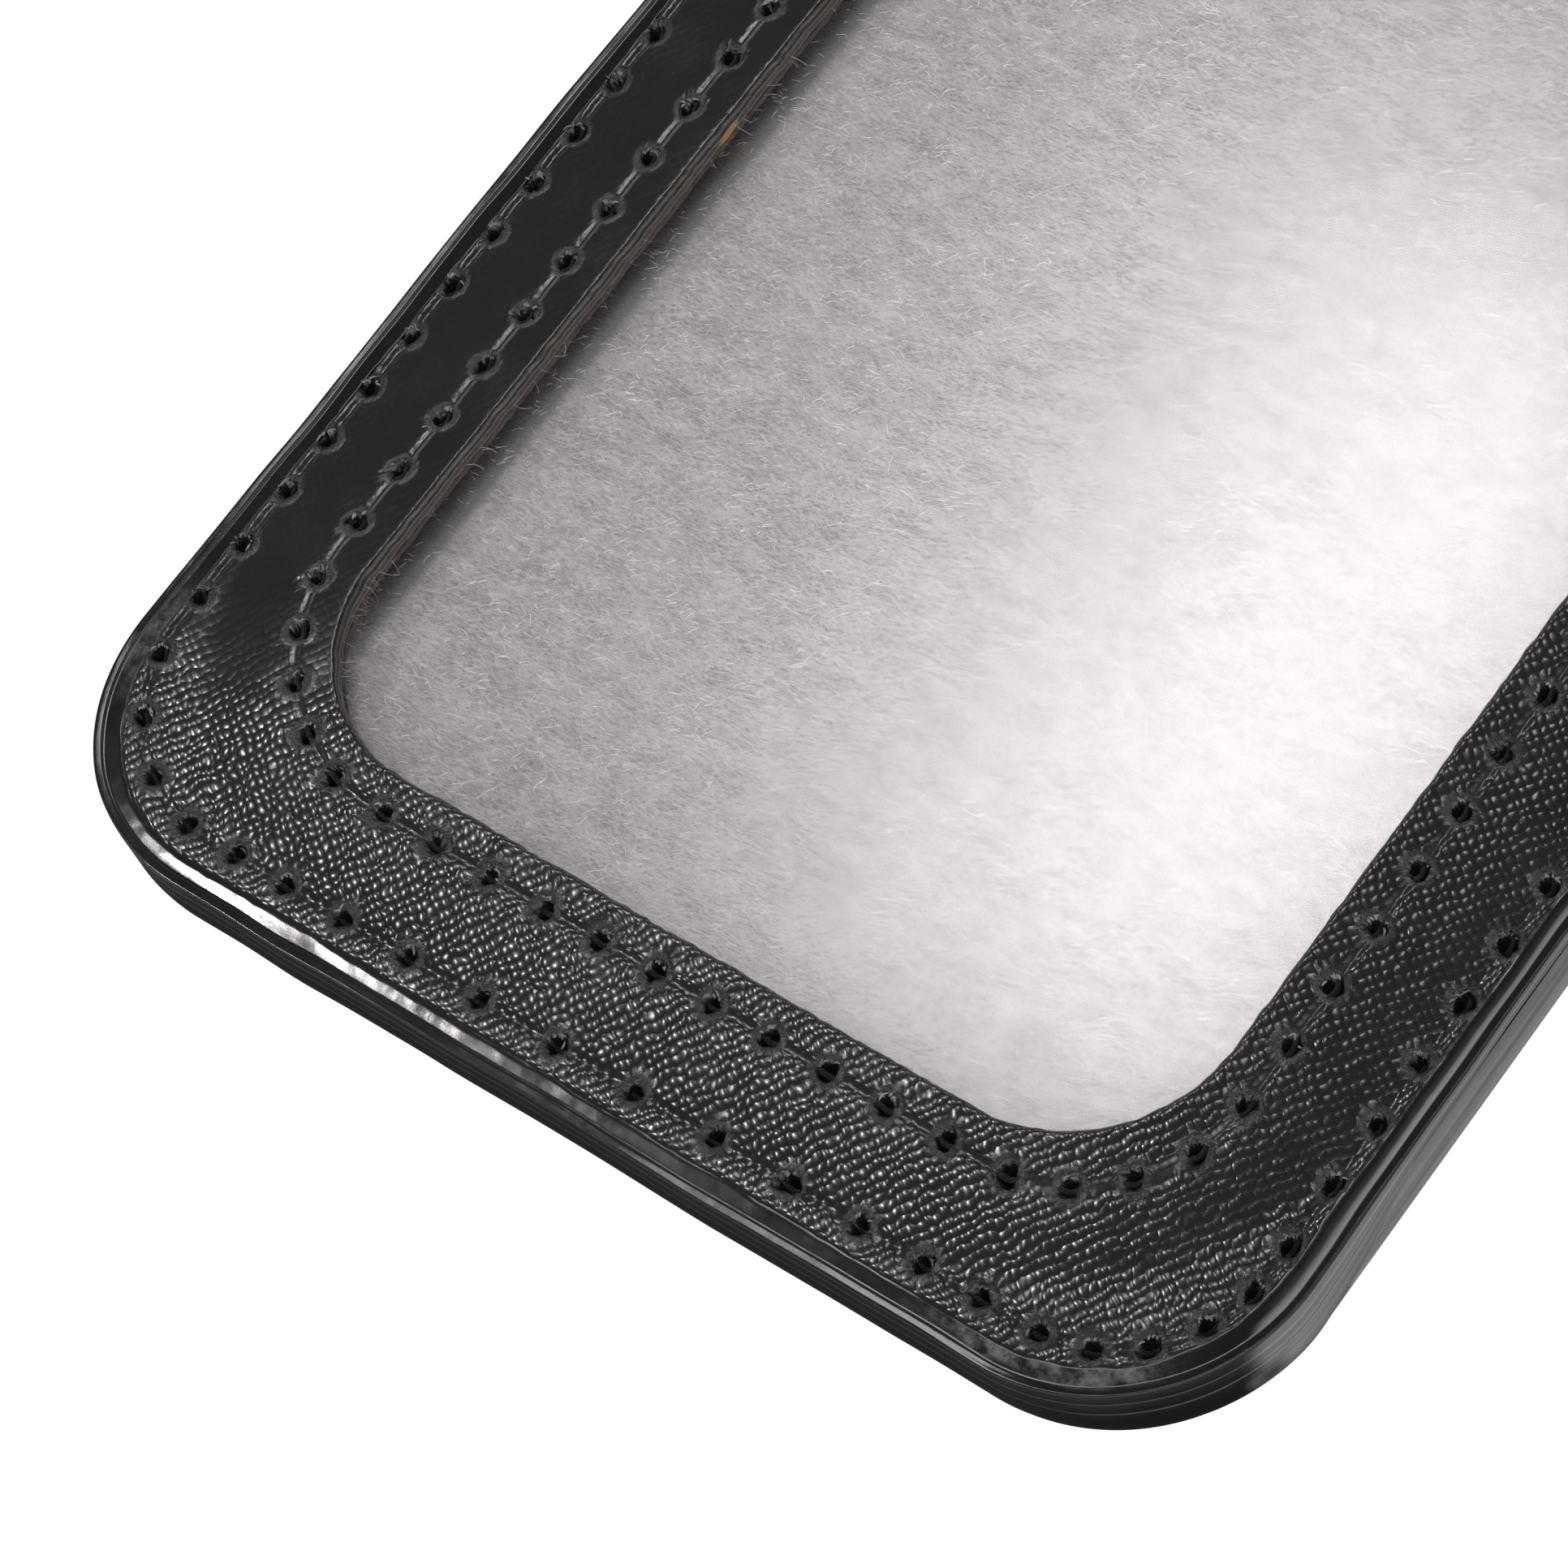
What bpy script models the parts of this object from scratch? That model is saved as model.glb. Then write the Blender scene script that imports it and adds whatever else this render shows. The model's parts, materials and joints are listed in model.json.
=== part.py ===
"""Card holder for a neck strap: a leather pocket with a sewn window, and a ring on a riveted tab.

It lies on its back. +X runs across the width, +Y towards the strap ring, +Z out of the window.
Heights are measured from the face that it lies on. All sizes are in metres.
"""
import math

import bpy
import bmesh
from mathutils import Vector

# Outline of the holder. Its width is the window's and a band of leather on each side.
WINDOW_WIDTH = 0.0514
SIDE_BAND = 0.0093
LENGTH = 0.1100
CORNER_RADIUS = 0.0107

# Plies, from the back to the front.
BACK_PLY = 0.0009
BACKING_PLY = 0.0003
BOARD_PLY = 0.0004
LINING_PLY = 0.0005
GUSSET_PLY = 0.00085
FRONT_PLY = 0.0009
FIBRE_PLY = 0.00035
FILM_PLY = 0.0002
PLY_GAP = 0.0001
CARD_SPACE = 0.0014

# Window, its seam and the crown of the front.
WINDOW_LOW_BAND = 0.0099
WINDOW_HIGH_BAND = 0.0120
WINDOW_RADIUS = 0.00845
WINDOW_SEAM_SIDE = 0.0023
WINDOW_SEAM_END = 0.0020
FIBRE_SETBACK = 0.00015
FIBRE_MARGIN = 0.0016
FILM_MARGIN = 0.0010
LIP_ROUND = 0.0003

# Card mouth, its thumb dip and the header above it.
HEADER = 0.0110
MOUTH_RISE = 0.0008
DIP_HALF = 0.0110
DIP_DEPTH = 0.0050
FACING_TUCK = 0.0040

# Slot in the back.
SLOT_MOUTH_Y = 0.0300
SLOT_OPENING = 0.0030
SLOT_DIP_DEPTH = 0.0060

# Perimeter seam, measured in from the edge.
SEAM_SIDE = 0.0023
SEAM_END = 0.0030
SEAM_START = 0.0075
GUSSET_TO_FIBRE = 0.0011

# Stitches.
STITCH_PITCH = 0.00337
THREAD_RADIUS = 0.0002
THREAD_LIFT = 0.0002
BOBBIN_LIFT = 0.00007
THREAD_GAP = 0.00005
GROOVE_DEPTH = 0.00055
GROOVE_FLOOR_HALF = 0.0003
GROOVE_EDGE_HALF = 0.0005

# Painted edges.
PAINT = 0.00035
PAINT_LAP = 0.00115
PAINT_PROUD = 0.00005
SHOULDER_DROP = 0.00045
LAP_STEP = 0.00015
BEAD_ROUND = 0.0003

# Tab, rivet and ring.
TAB_WIDTH = 0.0110
TAB_PLY = 0.0005
TAB_REACH = 0.0085
TAB_PINCH = 0.0030
RIVET_Y_IN = 0.0048
RIVET_RADIUS = 0.0032
SHANK_RADIUS = 0.0013
RIVET_BASE = 0.0006
RIVET_BASE_INSET = 0.0002
RIVET_DOME = 0.0009
RIVET_BRIM = 0.00025
RIVET_GRIP = 0.0004
WIRE_RADIUS = 0.0011
RING_INSIDE = 0.0120
RING_LEG = 0.0026
RING_CORNER = 0.0018
CLEARANCE = 0.0003
FLOOR_GAP = 0.0001

# How finely curves are cut.
CORNER_STEPS = 8
DIP_STEPS = 16
UPPER_STITCH_STEPS = 3
BOBBIN_STITCH_STEPS = 2
THREAD_SIDES = 4
WIRE_SIDES = 10
TURN_STEPS = 28
EASE_STEPS = 5
CUT_OVERRUN = 0.0010

# Places that follow from the sizes above.
WINDOW_HALF = WINDOW_WIDTH / 2
HALF_WIDTH = WINDOW_HALF + SIDE_BAND
GUSSET_WIDTH = SIDE_BAND - WINDOW_SEAM_SIDE - FIBRE_MARGIN - GUSSET_TO_FIBRE
TOP_Y = LENGTH / 2
BOTTOM_Y = -LENGTH / 2
MOUTH_Y = TOP_Y - HEADER
WINDOW_LOW = BOTTOM_Y + WINDOW_LOW_BAND
WINDOW_HIGH = MOUTH_Y - WINDOW_HIGH_BAND
BACKING_Z = BACK_PLY + PLY_GAP
BOARD_Z = BACKING_Z + BACKING_PLY + PLY_GAP
LINING_Z = BOARD_Z + BOARD_PLY + PLY_GAP
LINING_TOP = LINING_Z + LINING_PLY
GUSSET_Z = LINING_TOP + PLY_GAP
GUSSET_TOP = GUSSET_Z + GUSSET_PLY
RIM_UNDER = GUSSET_TOP + PLY_GAP
RIM_Z = RIM_UNDER + FRONT_PLY
FILM_Z = LINING_TOP + CARD_SPACE
FIBRE_Z = FILM_Z + FILM_PLY + PLY_GAP
LIP_UNDER = FIBRE_Z + FIBRE_PLY + PLY_GAP
LIP_Z = LIP_UNDER + FRONT_PLY
CROWN = LIP_Z - RIM_Z
CROWN_RUN = SIDE_BAND - SEAM_SIDE
EDGE_INSET = PAINT + PLY_GAP
RIVET_Y = TOP_Y - RIVET_Y_IN


def material(name, colour, roughness, metallic=0, alpha=1):
    """A plain finish with the part's own colour."""
    made = bpy.data.materials.new(name)
    made.use_nodes = True
    shader = made.node_tree.nodes["Principled BSDF"]
    shader.inputs["Base Color"].default_value = (*colour, 1)
    shader.inputs["Roughness"].default_value = roughness
    shader.inputs["Metallic"].default_value = metallic
    shader.inputs["Alpha"].default_value = alpha
    return made


def mesh_object(name, points, faces, finish, smooth_angle=None):
    """One closed solid, with its faces turned outwards."""
    mesh = bpy.data.meshes.new(name)
    mesh.from_pydata([Vector(point) for point in points], [], faces)
    shape = bmesh.new()
    shape.from_mesh(mesh)
    bmesh.ops.recalc_face_normals(shape, faces=shape.faces)
    shape.to_mesh(mesh)
    shape.free()
    if smooth_angle is not None:
        mesh.shade_smooth()
        mesh.set_sharp_from_angle(angle=smooth_angle)
    made = bpy.data.objects.new(name, mesh)
    made.data.materials.append(finish)
    bpy.context.scene.collection.objects.link(made)
    return made


def arc(centre_x, centre_y, radius, start, end, steps):
    """Points on an arc, both ends included. Angles are in degrees."""
    turns = [math.radians(start + (end - start) * step / steps) for step in range(steps + 1)]
    return [(centre_x + radius * math.cos(turn), centre_y + radius * math.sin(turn)) for turn in turns]


def dip(x, depth):
    """How far a thumb dip, round at its bottom and eased into the edge, lowers an edge at x."""
    if abs(x) >= DIP_HALF:
        return 0
    ease = (1 + math.cos(math.pi * x / DIP_HALF)) / 2
    return depth * math.sin(math.pi / 2 * ease)


def ring(half, low, high, radius, high_radius=None, depth=0):
    """A round-cornered outline, anticlockwise from the lower left corner.

    Every ring has the same number of points, so rings can be lofted. With a high_radius of zero the
    upper corners are square, and their points lie along the upper edge.
    """
    if high_radius is None:
        high_radius = radius
    points = arc(-half + radius, low + radius, radius, 180, 270, CORNER_STEPS)
    points += arc(half - radius, low + radius, radius, 270, 360, CORNER_STEPS)
    if high_radius:
        right = arc(half - high_radius, high - high_radius, high_radius, 0, 90, CORNER_STEPS)
    else:
        run = half - HALF_WIDTH + CORNER_RADIUS
        right = [(half - run * step / CORNER_STEPS, high) for step in range(CORNER_STEPS + 1)]
    left = [(-x, y) for x, y in reversed(right)]
    edge = [DIP_HALF * (1 - 2 * step / DIP_STEPS) for step in range(DIP_STEPS + 1)]
    return points + right + [(x, high - dip(x, depth)) for x in edge] + left


def front_ring(side_inset, end_inset):
    """An outline of the front, square at the card mouth, where it follows the thumb dip."""
    half = HALF_WIDTH - side_inset
    radius = CORNER_RADIUS - side_inset
    return ring(half, BOTTOM_Y + end_inset, MOUTH_Y - end_inset, radius, 0, DIP_DEPTH)


def back_ring(side_inset, end_inset):
    """An outline of the back, rounded at all four corners."""
    half = HALF_WIDTH - side_inset
    return ring(half, BOTTOM_Y + end_inset, TOP_Y - end_inset, CORNER_RADIUS - side_inset)


def window_ring(side_margin, end_margin):
    """An outline round the window, this far outside its edge."""
    half = WINDOW_HALF + side_margin
    low = WINDOW_LOW - end_margin
    high = WINDOW_HIGH + end_margin
    return ring(half, low, high, WINDOW_RADIUS + (side_margin + end_margin) / 2)


def crown_drop(margin):
    """How far the front has fallen from the window's lip, this far outside the window."""
    return CROWN * min(margin / CROWN_RUN, 1)


def mouth_rise(x, y):
    """How far the front stands up at the open card mouth."""
    if y < WINDOW_HIGH:
        return 0
    return MOUTH_RISE * max(1 - (x / (HALF_WIDTH - GUSSET_WIDTH)) ** 2, 0)


def at_height(points, z, rising=True):
    """A ring's points in space. A ring of the front rises with the card mouth."""
    return [(x, y, z + (mouth_rise(x, y) if rising else 0)) for x, y in points]


def loft_ring(name, rings, finish, smooth_angle=math.radians(40)):
    """A closed frame whose section runs through the given rings in turn."""
    count = len(rings[0])
    points = [point for one in rings for point in one]
    faces = []
    for row in range(len(rings)):
        nearer = row * count
        farther = (row + 1) % len(rings) * count
        for step in range(count):
            after = (step + 1) % count
            faces.append((nearer + step, nearer + after, farther + after, farther + step))
    return mesh_object(name, points, faces, finish, smooth_angle)


def loft_plate(name, rings, finish, smooth_angle=math.radians(40)):
    """A sheet whose first and last rings are filled."""
    count = len(rings[0])
    points = [point for one in rings for point in one]
    faces = [tuple(range(count)), tuple(range((len(rings) - 1) * count, len(rings) * count))]
    for row in range(len(rings) - 1):
        for step in range(count):
            after = (step + 1) % count
            near = row * count
            far = near + count
            faces.append((near + step, near + after, far + after, far + step))
    return mesh_object(name, points, faces, finish, smooth_angle)


def prism(name, outline, low, high, finish):
    """A flat ply of one outline."""
    rings = [[(x, y, low) for x, y in outline], [(x, y, high) for x, y in outline]]
    return loft_plate(name, rings, finish, math.radians(30))


def lower_outline(inset, cut_y, edge=()):
    """The back's outline up to cut_y, closed by the given points from right to left."""
    low = BOTTOM_Y + inset
    half = HALF_WIDTH - inset
    radius = CORNER_RADIUS - inset
    points = [(-half, cut_y)]
    points += arc(-half + radius, low + radius, radius, 180, 270, CORNER_STEPS)
    points += arc(half - radius, low + radius, radius, 270, 360, CORNER_STEPS)
    return points + [(half, cut_y)] + list(edge)


def upper_outline(inset, cut_y):
    """The back's outline above cut_y."""
    return [(x, -y) for x, y in reversed(lower_outline(inset, -cut_y))]


def cutter(made):
    """Marks a solid that only cuts others."""
    made.hide_render = True
    made.display_type = 'WIRE'
    return made


def cut(made, tool):
    """Takes the tool's shape out of a solid."""
    change = made.modifiers.new("cut_by_" + tool.name, 'BOOLEAN')
    change.operation = 'DIFFERENCE'
    change.solver = 'EXACT'
    change.object = tool
    return made


def channel_cutter(name, low, high):
    """A flat ring that cuts the perimeter seam's groove."""
    wide = back_ring(SEAM_SIDE - GROOVE_FLOOR_HALF, SEAM_END - GROOVE_FLOOR_HALF)
    narrow = back_ring(SEAM_SIDE + GROOVE_FLOOR_HALF, SEAM_END + GROOVE_FLOOR_HALF)
    rings = [at_height(wide, low, False), at_height(wide, high, False)]
    rings += [at_height(narrow, high, False), at_height(narrow, low, False)]
    return cutter(loft_ring(name, rings, FINISHES["leather"]))


def lathe(name, profile, place, finish, steps=24):
    """A solid turned about the vertical through place. The profile is (radius, height) points."""
    points = []
    for radius, height in profile:
        for step in range(steps):
            turn = 2 * math.pi * step / steps
            points.append((place[0] + radius * math.cos(turn), place[1] + radius * math.sin(turn), height))
    faces = [tuple(range(steps)), tuple(range(len(points) - steps, len(points)))]
    for row in range(len(profile) - 1):
        for step in range(steps):
            after = (step + 1) % steps
            near = row * steps
            far = near + steps
            faces.append((near + step, near + after, far + after, far + step))
    return mesh_object(name, points, faces, finish, math.radians(35))


def tube(name, path, radius, sides, finish, closed):
    """A round section carried along a path, which may close on itself."""
    path = [Vector(point) for point in path]
    count = len(path)
    up = Vector((0, 0, 1))
    points = []
    for index, centre in enumerate(path):
        before = path[index - 1] if closed or index else centre
        after = path[(index + 1) % count] if closed or index < count - 1 else centre
        along = (after - before).normalized()
        side = along.cross(up).normalized()
        top = side.cross(along)
        for step in range(sides):
            turn = 2 * math.pi * step / sides
            points.append(centre + radius * (side * math.cos(turn) + top * math.sin(turn)))
    faces = []
    for row in range(count if closed else count - 1):
        near = row * sides
        far = (row + 1) % count * sides
        for step in range(sides):
            after = (step + 1) % sides
            faces.append((near + step, near + after, far + after, far + step))
    if not closed:
        faces += [tuple(range(sides)), tuple(range(len(points) - sides, len(points)))]
    return mesh_object(name, points, faces, finish, math.radians(60))


class SeamRow:
    """A round-cornered row of stitches. Stations run clockwise from the middle of the upper side."""

    def __init__(self, half, low, high, radius):
        self.radius = radius
        self.flat_x = half - radius
        self.high_y = high - radius
        self.low_y = low + radius
        self.high = high
        self.low = low
        self.half = half
        self.bend = math.pi / 2 * radius
        self.side = self.high_y - self.low_y
        self.length = 4 * self.flat_x + 4 * self.bend + 2 * self.side

    def point(self, station):
        """The place of a station along the row."""
        station %= self.length
        mirrored = station > self.length / 2
        if mirrored:
            station = self.length - station
        sign = -1 if mirrored else 1
        if station < self.flat_x:
            return sign * station, self.high
        station -= self.flat_x
        if station < self.bend:
            turn = station / self.radius
            return sign * (self.flat_x + self.radius * math.sin(turn)), self.high_y + self.radius * math.cos(turn)
        station -= self.bend
        if station < self.side:
            return sign * self.half, self.high_y - station
        station -= self.side
        if station < self.bend:
            turn = station / self.radius
            return sign * (self.flat_x + self.radius * math.cos(turn)), self.low_y - self.radius * math.sin(turn)
        station -= self.bend
        return sign * (self.flat_x - station), self.low

    def station_on_side(self, y):
        """The station on the right side at height y, which may lie on the upper corner."""
        if y <= self.high_y:
            return self.flat_x + self.bend + self.high_y - y
        turn = math.acos((y - self.high_y) / self.radius)
        return self.flat_x + self.radius * turn


def even_stations(start, end):
    """Needle holes between two stations, as near the stitch pitch as fits."""
    count = max(round((end - start) / STITCH_PITCH), 1)
    return [start + (end - start) * step / count for step in range(count + 1)]


def stitch_run(row, holes, floor_z, lift, steps):
    """A thread along a row: down at each needle hole and up between two holes."""
    points = []
    for first, second in zip(holes, holes[1:]):
        for step in range(steps):
            share = step / steps
            x, y = row.point(first + (second - first) * share)
            points.append((x, y, floor_z + lift * math.sin(math.pi * share)))
    x, y = row.point(holes[-1])
    return points + [(x, y, floor_z)]


def window_threads():
    """The lock stitches round the window: one thread in the groove, one under the film."""
    radius = WINDOW_RADIUS + (WINDOW_SEAM_SIDE + WINDOW_SEAM_END) / 2
    low = WINDOW_LOW - WINDOW_SEAM_END
    high = WINDOW_HIGH + WINDOW_SEAM_END
    row = SeamRow(WINDOW_HALF + WINDOW_SEAM_SIDE, low, high, radius)
    holes = even_stations(0, row.length)
    drop = crown_drop(WINDOW_SEAM_SIDE)
    floor_z = LIP_Z - drop - GROOVE_DEPTH + THREAD_GAP + THREAD_RADIUS
    upper = stitch_run(row, holes, floor_z, THREAD_LIFT, UPPER_STITCH_STEPS)[:-1]
    tube("window_top_thread", upper, THREAD_RADIUS, THREAD_SIDES, FINISHES["thread"], True)
    under_z = FILM_Z - drop - THREAD_GAP - THREAD_RADIUS
    bobbin = stitch_run(row, holes, under_z, -BOBBIN_LIFT, BOBBIN_STITCH_STEPS)[:-1]
    tube("window_bobbin_thread", bobbin, THREAD_RADIUS, THREAD_SIDES, FINISHES["thread"], True)


def perimeter_threads():
    """The lock stitches round the edge, from one side of the tab round to the other.

    The upper thread steps over the card mouth's edge with one long stitch on each side.
    """
    high = TOP_Y - SEAM_END
    row = SeamRow(HALF_WIDTH - SEAM_SIDE, BOTTOM_Y + SEAM_END, high, CORNER_RADIUS - SEAM_SIDE)
    over_edge = row.station_on_side(MOUTH_Y + THREAD_RADIUS + CLEARANCE)
    header_end = over_edge - STITCH_PITCH / 3
    crease_y = MOUTH_Y - SEAM_END
    over_crease = row.station_on_side(crease_y + THREAD_RADIUS)
    front_start = over_crease + STITCH_PITCH / 3
    mirror = row.length
    runs = [even_stations(SEAM_START, header_end)]
    runs.append(even_stations(front_start, mirror - front_start))
    runs.append([mirror - station for station in reversed(runs[0])])

    header_z = LINING_TOP - GROOVE_DEPTH + THREAD_GAP + THREAD_RADIUS
    front_z = RIM_Z - GROOVE_DEPTH + THREAD_GAP + THREAD_RADIUS
    over_z = RIM_Z + PAINT_PROUD + THREAD_GAP + THREAD_RADIUS + PLY_GAP
    steps = UPPER_STITCH_STEPS
    upper = stitch_run(row, runs[0], header_z, THREAD_LIFT, steps)
    upper += [(*row.point(over_edge), over_z), (*row.point(over_crease), over_z)]
    upper += stitch_run(row, runs[1], front_z, THREAD_LIFT, steps)
    upper += [(*row.point(mirror - over_crease), over_z), (*row.point(mirror - over_edge), over_z)]
    upper += stitch_run(row, runs[2], header_z, THREAD_LIFT, steps)
    tube("perimeter_top_thread", upper, THREAD_RADIUS, THREAD_SIDES, FINISHES["thread"], False)

    back_z = GROOVE_DEPTH - THREAD_GAP - THREAD_RADIUS
    holes = runs[0] + runs[1] + runs[2]
    bobbin = stitch_run(row, holes, back_z, -BOBBIN_LIFT, BOBBIN_STITCH_STEPS)
    tube("perimeter_bobbin_thread", bobbin, THREAD_RADIUS, THREAD_SIDES, FINISHES["thread"], False)


def front_panel():
    """The leather window frame: one loft through the rolled edge, both seam grooves and the lip."""
    floor = RIM_Z - GROOVE_DEPTH
    edges = (-GROOVE_EDGE_HALF, -GROOVE_FLOOR_HALF, GROOVE_FLOOR_HALF, GROOVE_EDGE_HALF)
    rings = [at_height(front_ring(EDGE_INSET, EDGE_INSET), RIM_UNDER)]
    rings.append(at_height(front_ring(EDGE_INSET, EDGE_INSET), RIM_Z - SHOULDER_DROP))
    rings.append(at_height(front_ring(PAINT_LAP, PAINT_LAP), RIM_Z - LAP_STEP))
    lap_end = PAINT_LAP + THREAD_GAP
    rings.append(at_height(front_ring(lap_end, lap_end), RIM_Z))
    for offset in edges:
        height = floor if abs(offset) == GROOVE_FLOOR_HALF else RIM_Z
        rings.append(at_height(front_ring(SEAM_SIDE + offset, SEAM_END + offset), height))
    row_z = LIP_Z - crown_drop(WINDOW_SEAM_SIDE)
    for offset in reversed(edges):
        margin = window_ring(WINDOW_SEAM_SIDE + offset, WINDOW_SEAM_END + offset)
        height = LIP_Z - crown_drop(WINDOW_SEAM_SIDE + offset)
        if abs(offset) == GROOVE_FLOOR_HALF:
            height = row_z - GROOVE_DEPTH
        rings.append(at_height(margin, height, False))
    shoulder = window_ring(LIP_ROUND, LIP_ROUND)
    rings.append(at_height(shoulder, LIP_Z - crown_drop(LIP_ROUND), False))
    rings.append(at_height(window_ring(0, 0), LIP_Z - LIP_ROUND, False))
    rings.append(at_height(window_ring(0, 0), LIP_UNDER, False))
    rings.append(at_height(window_ring(WINDOW_SEAM_SIDE, WINDOW_SEAM_END), row_z - FRONT_PLY, False))
    rings.append(at_height(front_ring(SEAM_SIDE, SEAM_END), RIM_UNDER))
    return loft_ring("front_panel", rings, FINISHES["leather"])


def front_fibreboard():
    """The brown fibre frame glued behind the leather, round the window."""
    side = WINDOW_SEAM_SIDE + FIBRE_MARGIN
    end = WINDOW_SEAM_END + FIBRE_MARGIN
    inner = window_ring(FIBRE_SETBACK, FIBRE_SETBACK)
    outer = window_ring(side, end)
    inner_z = FIBRE_Z - crown_drop(FIBRE_SETBACK)
    outer_z = FIBRE_Z - crown_drop(side)
    rings = [at_height(inner, inner_z, False), at_height(inner, inner_z + FIBRE_PLY, False)]
    rings += [at_height(outer, outer_z + FIBRE_PLY, False), at_height(outer, outer_z, False)]
    return loft_ring("front_fibreboard", rings, FINISHES["fibreboard"])


def window_film():
    """The clear sheet, flat in the window and bent down under the frame to its sewn edge."""
    side = WINDOW_SEAM_SIDE + FILM_MARGIN
    end = WINDOW_SEAM_END + FILM_MARGIN
    outer = window_ring(side, end)
    inner = window_ring(0, 0)
    outer_z = FILM_Z - crown_drop(side)
    rings = [at_height(inner, FILM_Z, False), at_height(outer, outer_z, False)]
    rings += [at_height(outer, outer_z + FILM_PLY, False), at_height(inner, FILM_Z + FILM_PLY, False)]
    return loft_plate("window_film", rings, FINISHES["film"])


def front_edge_paint():
    """The glossy bead round the front's edge, which laps onto the leather's shoulder."""
    lap = PAINT_LAP - THREAD_GAP
    top = RIM_Z + PAINT_PROUD
    section = [
        (PAINT, RIM_UNDER),
        (PAINT, RIM_Z - SHOULDER_DROP + PLY_GAP),
        (lap, RIM_Z - LAP_STEP + PLY_GAP),
        (lap, top),
        (PAINT + BEAD_ROUND, top - PAINT_PROUD / 2),
        (BEAD_ROUND / 2, RIM_Z - BEAD_ROUND),
        (0, RIM_Z - BEAD_ROUND - BEAD_ROUND),
        (0, RIM_UNDER),
    ]
    rings = [at_height(front_ring(inset, inset), height) for inset, height in section]
    return loft_ring("front_edge_paint", rings, FINISHES["edge_paint"])


def back_edge_paint():
    """The bead round the edge of the back plies."""
    section = [
        (PAINT, PLY_GAP),
        (BEAD_ROUND / 2, PLY_GAP + BEAD_ROUND / 2),
        (0, PLY_GAP + BEAD_ROUND + BEAD_ROUND),
        (0, LINING_TOP - BEAD_ROUND),
        (BEAD_ROUND / 2, LINING_TOP),
        (PAINT, LINING_TOP),
    ]
    rings = [at_height(back_ring(inset, inset), height, False) for inset, height in section]
    return loft_ring("back_edge_paint", rings, FINISHES["edge_paint"])


def gusset():
    """The filler strip between back and front, open at the card mouth."""
    outer = lower_outline(0, MOUTH_Y)
    inner = lower_outline(GUSSET_WIDTH, MOUTH_Y)
    return prism("gusset", outer + list(reversed(inner)), GUSSET_Z, GUSSET_TOP, FINISHES["edge_paint"])


def back_plies():
    """The plies under the card, the slot in the back and the leather header that carries the ring."""
    facing_y = MOUTH_Y - FACING_TUCK
    ply_edge = facing_y - CLEARANCE
    prism("card_lining", lower_outline(EDGE_INSET, ply_edge), LINING_Z, LINING_TOP, FINISHES["lining"])
    prism("back_board", lower_outline(EDGE_INSET, ply_edge), BOARD_Z, BOARD_Z + BOARD_PLY, FINISHES["board"])
    facing = prism("header_facing", upper_outline(EDGE_INSET, facing_y), BOARD_Z, LINING_TOP,
                   FINISHES["leather"])
    whole = back_ring(EDGE_INSET, EDGE_INSET)
    backing = prism("pocket_backing", whole, BACKING_Z, BACKING_Z + BACKING_PLY, FINISHES["backing"])
    edge = [DIP_HALF * (1 - 2 * step / DIP_STEPS) for step in range(DIP_STEPS + 1)]
    mouth = [(x, SLOT_MOUTH_Y - dip(x, SLOT_DIP_DEPTH)) for x in edge]
    pocket = prism("back_pocket_panel", lower_outline(EDGE_INSET, SLOT_MOUTH_Y, mouth), 0, BACK_PLY,
                   FINISHES["leather"])
    upper_y = SLOT_MOUTH_Y + SLOT_OPENING
    upper = prism("back_upper_panel", upper_outline(EDGE_INSET, upper_y), 0, BACK_PLY, FINISHES["leather"])
    back_channel = channel_cutter("back_channel", -CUT_OVERRUN, GROOVE_DEPTH)
    header_channel = channel_cutter("header_channel", LINING_TOP - GROOVE_DEPTH, LINING_TOP + CUT_OVERRUN)
    cut(pocket, back_channel)
    cut(upper, back_channel)
    cut(facing, header_channel)
    return facing, backing, upper


def tab_profile():
    """The tab's middle line in (y, z): lower leaf, the turn round the bar, and the upper leaf."""
    lower_z = LINING_TOP + PLY_GAP + TAB_PLY / 2
    upper_z = lower_z + TAB_PLY + PLY_GAP
    bend = WIRE_RADIUS + CLEARANCE + TAB_PLY / 2
    bar_y = TOP_Y + CLEARANCE + TAB_PLY + bend
    bar_z = (lower_z + upper_z) / 2
    start_y = TOP_Y - TAB_REACH
    pinch_y = bar_y - TAB_PINCH
    lower = [(start_y, lower_z)]
    for step in range(EASE_STEPS + 1):
        share = step / EASE_STEPS
        ease = share * share * (3 - 2 * share)
        lower.append((pinch_y + (bar_y - pinch_y) * share, lower_z + (bar_z - bend - lower_z) * ease))
    turn = arc(bar_y, bar_z, bend, -90, 90, 2 * EASE_STEPS)[1:-1]
    upper = [(y, 2 * bar_z - z) for y, z in reversed(lower)]
    return lower + turn + upper, bar_y, bar_z


def ring_tab():
    """A leather strip folded round the ring's bar, with both leaves on the header."""
    middle, bar_y, bar_z = tab_profile()
    left = []
    right = []
    for index, (y, z) in enumerate(middle):
        before = middle[max(index - 1, 0)]
        after = middle[min(index + 1, len(middle) - 1)]
        along = Vector((after[0] - before[0], after[1] - before[1])).normalized()
        left.append((y - along.y * TAB_PLY / 2, z + along.x * TAB_PLY / 2))
        right.append((y + along.y * TAB_PLY / 2, z - along.x * TAB_PLY / 2))
    outline = left + list(reversed(right))
    half = TAB_WIDTH / 2
    rings = [[(side, y, z) for y, z in outline] for side in (-half, half)]
    return loft_plate("ring_tab", rings, FINISHES["leather"], math.radians(50)), bar_y, bar_z


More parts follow.
